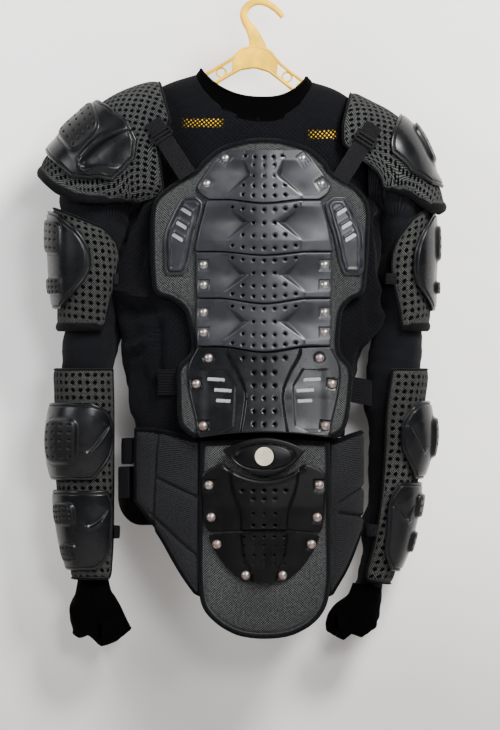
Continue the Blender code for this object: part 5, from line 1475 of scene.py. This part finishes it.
def make_braces(webbing_look, slide_look):
    for side in ARMS:
        (top_x, top_z), (foot_x, foot_z) = BRACES[side]
        foot = point_on(back_surface, foot_x, foot_z, BACK_PAD + CLEARANCE)
        top = Vector((top_x, BRACE_Y, top_z))
        down = (foot - top).normalized()
        across = down.cross(Vector((0, -1, 0))).normalized()

        def place(u, v, lift):
            middle = np.array(top) + np.array(foot - top) * u[..., None]
            return middle + np.array(across) * (STRAP_WIDTH * (v - 0.5))[..., None] - stack(0 * u, lift, 0)

        ribbon(f"shoulder_strap_{side}", place, 50, 14, WEBBING, webbing_look)
        width, height, thick = SLIDE_SIZE
        middle = top.lerp(foot, BRACE_SLIDE) + Vector((0, -WEBBING - CLEARANCE - thick / 2, 0))
        turn = Matrix((across, down.cross(across), down)).transposed().to_4x4()
        bm = bmesh.new()
        for at_z, tall in ((0.0016 - height / 2, 0.0034), (0, 0.0032), (height / 2 - 0.0016, 0.0034)):
            block(bm, (width, thick, tall), (0, 0, at_z))
        for sign in (-1, 1):
            block(bm, (0.004, thick, height), (sign * (width / 2 - 0.002), 0, 0))
        bmesh.ops.bevel(bm, geom=bm.edges[:], offset=0.0008, segments=3, affect="EDGES", clamp_overlap=True)
        bmesh.ops.transform(bm, matrix=Matrix.Translation(middle) @ turn, verts=bm.verts)
        from_bmesh(f"strap_slide_{side}_look", bm, slide_look, [f"strap_slide_{side}"])


# ---------------------------------------------------------------- hanger
def wire(bm, points, halves, sides=20, depth=None):
    """A wire through points with its half width at each, and its half depth along y if that is another."""
    rings = []
    for k, (point, half) in enumerate(zip(points, halves)):
        way = (points[min(k + 1, len(points) - 1)] - points[max(k - 1, 0)]).normalized()
        side = Vector((0, 1, 0))
        up = way.cross(side).normalized()
        rings.append([point + side * a * (depth or half) + up * b * half for a, b in circle(1, sides)])
    skin(bm, rings)


def upright(pairs):
    return [Vector((x, 0, z)) for x, z in pairs]


def hanger_edge(x, edge):
    heights = [getattr(row, edge) for row in HANGER_ARM]
    return float(np.interp(abs(x), [row.x for row in HANGER_ARM], heights))


def hanger_window(start, end, count, inset):
    """A closed outline along both edges of the hanger's arms, inset from them."""
    across = np.linspace(start, end, count)
    return ([(x, hanger_edge(x, "top") - inset, 0) for x in across]
            + [(x, hanger_edge(x, "bottom") + inset, 0) for x in across[::-1]])


def hanger_plate():
    """The arms as a rounded plate with windows, standing in the plane of X and Z."""
    splines = [hanger_window(-HANGER_ARM[-1].x, HANGER_ARM[-1].x, 121, 0.0)]
    for slot in HANGER_SLOTS:
        splines += [hanger_window(sign * slot.start, sign * slot.end, 12, slot.inset) for sign in (-1, 1)]
    data = bpy.data.curves.new("plate", "CURVE")
    data.dimensions = "2D"
    data.fill_mode = "BOTH"
    data.extrude = HANGER_THICK / 2 - HANGER_ROUNDING
    data.bevel_depth = HANGER_ROUNDING
    data.bevel_resolution = 3
    data.offset = -HANGER_ROUNDING
    for points in splines:
        spline = data.splines.new("POLY")
        spline.points.add(len(points) - 1)
        for made, point in zip(spline.points, points):
            made.co = (*point, 1)
        spline.use_cyclic_u = True
    obj = linked("plate", data)
    bpy.context.view_layer.update()
    bm = bmesh.new()
    bm.from_mesh(obj.to_mesh())
    bpy.data.objects.remove(obj)
    bmesh.ops.rotate(bm, matrix=Matrix.Rotation(math.pi / 2, 3, "X"), verts=bm.verts)
    return bm


# The hook from its free end round to the stem's foot, with its half width.
HOOK = [
    (0.0342, -0.014, 0.0034), (0.0297, -0.0085, 0.0042), (0.0213, -0.0015, 0.0045),
    (0.0089, 0.0046, 0.0048), (-0.0042, 0.0055, 0.0052), (-0.0154, -0.0013, 0.0054),
    (-0.0205, -0.012, 0.0054), (-0.0173, -0.0228, 0.0058), (-0.0084, -0.0344, 0.0075),
    (-0.0011, -0.0482, 0.01), (0.0032, -0.061, 0.0125),
]
# Rings between the hanger's edges: their place along the arms and their radius.
HANGER_RINGS = [(0.046, 0.0066), (0.0665, 0.0058), (0.09, 0.0048), (0.123, 0.004)]
RING_WIRE = 0.0015
RAIL_WIRE = 0.0024
RAIL_END = 0.14
FINE_SIDES = 12


def make_hanger(material):
    bm = hanger_plate()
    x, z, half = along(HOOK, np.linspace(0, len(HOOK) - 1, 110)).tolist()
    wire(bm, upright(zip(x, z)), half, depth=HOOK_WIRE)
    end = (HANGER_ARM[-1].x - 0.006, HANGER_ARM[-1].bottom + 0.004)
    bar = upright([(-end[0], end[1]), (-TROUSER_BAR_X, TROUSER_BAR_Z), (TROUSER_BAR_X, TROUSER_BAR_Z), end])
    path = [p for a, b in zip(bar, bar[1:]) for p in (a, a.lerp(b, 0.96))] + [bar[-1]]
    wire(bm, path, [TROUSER_BAR_WIRE] * len(path))
    for x, radius in HANGER_RINGS:
        middle = (hanger_edge(x, "top") + hanger_edge(x, "bottom")) / 2
        for sign in (-1, 1):
            ring = circle(radius, 40)
            ring = upright((sign * x + a, middle + b) for a, b in ring + ring[:1])
            wire(bm, ring, [RING_WIRE] * len(ring), FINE_SIDES)
    for edge, way in (("top", -0.0012), ("bottom", 0.0012)):
        rail = [(x, hanger_edge(x, edge) + way) for x in np.linspace(-RAIL_END, RAIL_END, 29)]
        path = upright(along(rail, np.linspace(0, len(rail) - 1, 150)).T.tolist())
        wire(bm, path, [RAIL_WIRE] * len(path), FINE_SIDES, 1.8 * RAIL_WIRE)
    bmesh.ops.rotate(bm, matrix=Matrix.Rotation(HANGER_TILT, 3, "Y"), verts=bm.verts)
    from_bmesh("hanger_look", bm, material, ["hanger"], shift=0.0)


# ---------------------------------------------------------------- all of it
HANGER_COLOUR = (0.8, 0.46, 0.001)
# Where the hanger shows through the open knit: middle and half size of each place.
SHOWN_THROUGH = table("x z half_x half_z", [(-0.078, -0.166, 0.027, 0.006), (0.088, -0.182, 0.019, 0.006)])
upper_plate = plastic("slate_plate", (0.013, 0.0139, 0.0168), 0.33, 0.3)
lower_plate = plastic("dark_plate", (0.0016, 0.0016, 0.0019), 0.36, 0.12)
shell_look = plastic("slate_shell", (0.0036, 0.0038, 0.0045), 0.28, 0.19)
strip_look = plastic("strip_plastic", (0.15, 0.155, 0.16), 0.35)
slide_look = plastic("slide_plastic_look", (0.0016, 0.0016, 0.0018), 0.3, 0.12)
cream = plastic("cream_disc", (0.42, 0.38, 0.28), 0.4)
yellow = plastic("hanger_yellow", HANGER_COLOUR, 0.42, 0.15)
rivet_look = metal("rivet_metal", (0.25, 0.245, 0.24), 0.8)
pale_cloth = cloth("slot_cloth_look", (0.03, 0.03, 0.03), (0.24, 0.24, 0.23), 0.003, share=0.7)
# Painted shade: the near-black sheet under the plates.
painted_hole_shade = cloth("painted_hole_shade_look", SHADE_BEHIND_HOLES, (0.0012, 0.0012, 0.0012), 0.002)
back_cloth = cloth("back_cloth_look", (0.0018, 0.0019, 0.0021), (0.074, 0.077, 0.076), 0.0034,
                   (0.0032, 0.0034, 0.0038), 0.007, share=0.4)
arm_mesh = cloth("arm_mesh_look", (0.0016, 0.0017, 0.0017), (0.066, 0.069, 0.065), 0.0032,
                 (0.003, 0.003, 0.0033), 0.0036, holes=(0.0106, 0.0031, 0.0), share=0.4)
shoulder_mesh = cloth("shoulder_mesh_look", (0.0016, 0.0017, 0.0017), (0.07, 0.073, 0.071), 0.003,
                      (0.0028, 0.0028, 0.0032), 0.0036, holes=(0.0092, 0.0029, 0.5), share=0.4)
knit = cloth("knit_look", (0.0006, 0.0006, 0.0008), (0.009, 0.0094, 0.0116), 0.003,
             holes=(0.005, 0.0012, 0.78), share=0.4, behind=(HANGER_COLOUR, SHOWN_THROUGH))
stretch = cloth("stretch_look", (0.0008, 0.0008, 0.001), (0.0098, 0.0102, 0.0122), 0.0028)
plain_black = cloth("plain_black_look", (0.0001, 0.0001, 0.0001), (0.0005, 0.0005, 0.0005), 0.0028,
                    sheen=0.0)
belt_cloth = cloth("belt_cloth_look", (0.001, 0.001, 0.0011), (0.022, 0.0225, 0.024), 0.0032,
                   (0.0012, 0.0012, 0.0014), 0.0056, share=0.48)
webbing_look = cloth("webbing_look", (0.001, 0.001, 0.0012), (0.017, 0.017, 0.019), 0.003, turn=0.6,
                     share=0.45)
elastic_look = cloth("elastic_look", (0.0008, 0.0008, 0.001), (0.01, 0.01, 0.012), 0.003, share=0.45)
plate_looks = dict.fromkeys(PLATES, upper_plate)
plate_looks.update(spine_plate_5=shell_look, tail_plate_1=lower_plate, tail_plate_2=lower_plate)

make_plates(plate_looks, rivet_look, pale_cloth, painted_hole_shade)
make_blade_plates(upper_plate, strip_look)
make_badge(lower_plate, cream)
make_back_pads(back_cloth)
make_arm_pads(arm_mesh, shoulder_mesh)
make_arm_shells(shell_look)
make_body(knit)
make_sleeves(stretch)
make_collar(plain_black)
make_cuffs(plain_black)
make_zip(plain_black)
make_bands(webbing_look, elastic_look)
make_wings(belt_cloth)
make_braces(webbing_look, slide_look)
make_hanger(yellow)


# ---------------------------------------------------------------- stage, light and camera
def wall_paint():
    """Pale paint, with painted shade low down, that shows only its front: the room can be looked into from
    outside.
    """
    look = Look("wall_paint")
    patches = look.ramp(look.noise(look.place(), 2.2, 3), 0.3, 0.7)
    tone = look.mix(patches, (0.84, 0.82, 0.8), (0.9, 0.88, 0.86))
    # Painted shade: the wall darkens towards the bottom.
    low = look.ramp(look.split(look.place())[2], -1.05, -0.62, 1.0, 0.0)
    tone = look.mix(low, tone, (0.5, 0.485, 0.47))
    behind = look.node("ShaderNodeNewGeometry", {}).outputs["Backfacing"]
    clear = look.node("ShaderNodeBsdfTransparent", {}).outputs[0]
    shown = look.node("ShaderNodeMixShader", {0: behind, 1: look.shader.outputs[0], 2: clear})
    output = next(node for node in look.tree.nodes if node.type == "OUTPUT_MATERIAL")
    look.fill(output.inputs["Surface"], shown.outputs[0])
    return look.finish(Base_Color=tone, Roughness=0.85)


def room_sheet(name, turn, place, material):
    """A plain sheet of the room."""
    bm = bmesh.new()
    bmesh.ops.create_grid(bm, x_segments=2, y_segments=2, size=3.0)
    bmesh.ops.rotate(bm, matrix=Matrix.Rotation(turn, 3, "X"), verts=bm.verts)
    bmesh.ops.translate(bm, vec=place, verts=bm.verts)
    mesh = bpy.data.meshes.new(name)
    bm.to_mesh(mesh)
    mesh.materials.append(material)
    linked(name, mesh)


def add_light(name, place, target, size, power_watts, colour):
    data = bpy.data.lights.new(name, "AREA")
    data.shape = "DISK"
    data.size, data.energy, data.color = size, power_watts, colour
    lamp = linked(name, data)
    lamp.location = place
    lamp.rotation_euler = (Vector(target) - Vector(place)).to_track_quat("-Z", "Y").to_euler()


wall = wall_paint()
room_sheet("backdrop", math.pi / 2, (0, 0.115, -0.5), wall)
room_sheet("floor", 0.0, (0, -2.885, -1.6), wall)
add_light("key", (1.2, -1.9, 1.3), (0.1, 0.1, -0.35), 0.9, 200, (1.0, 0.99, 0.98))
add_light("gloss", (0.65, -3.0, 0.15), (0, 0, -0.35), 0.8, 56, (0.97, 0.98, 1.0))
add_light("fill", (-2.0, -1.6, 0.6), (0, 0.1, -0.4), 1.4, 64, (0.97, 0.98, 1.0))
world = bpy.data.worlds.new("soft_room")
world.use_nodes = True
world.node_tree.nodes["Background"].inputs["Color"].default_value = (0.82, 0.84, 0.88, 1)
world.node_tree.nodes["Background"].inputs["Strength"].default_value = 0.16
bpy.context.scene.world = world

camera_data = bpy.data.cameras.new("photo_view")
camera_data.sensor_fit = "VERTICAL"
camera_data.sensor_height = 36.0
camera_data.lens = 282.0
camera = linked("photo_view", camera_data)
camera.location = (-0.0126, -8.0, -0.5026)
camera.rotation_euler = (math.pi / 2, 0, 0)
bpy.context.scene.camera = camera
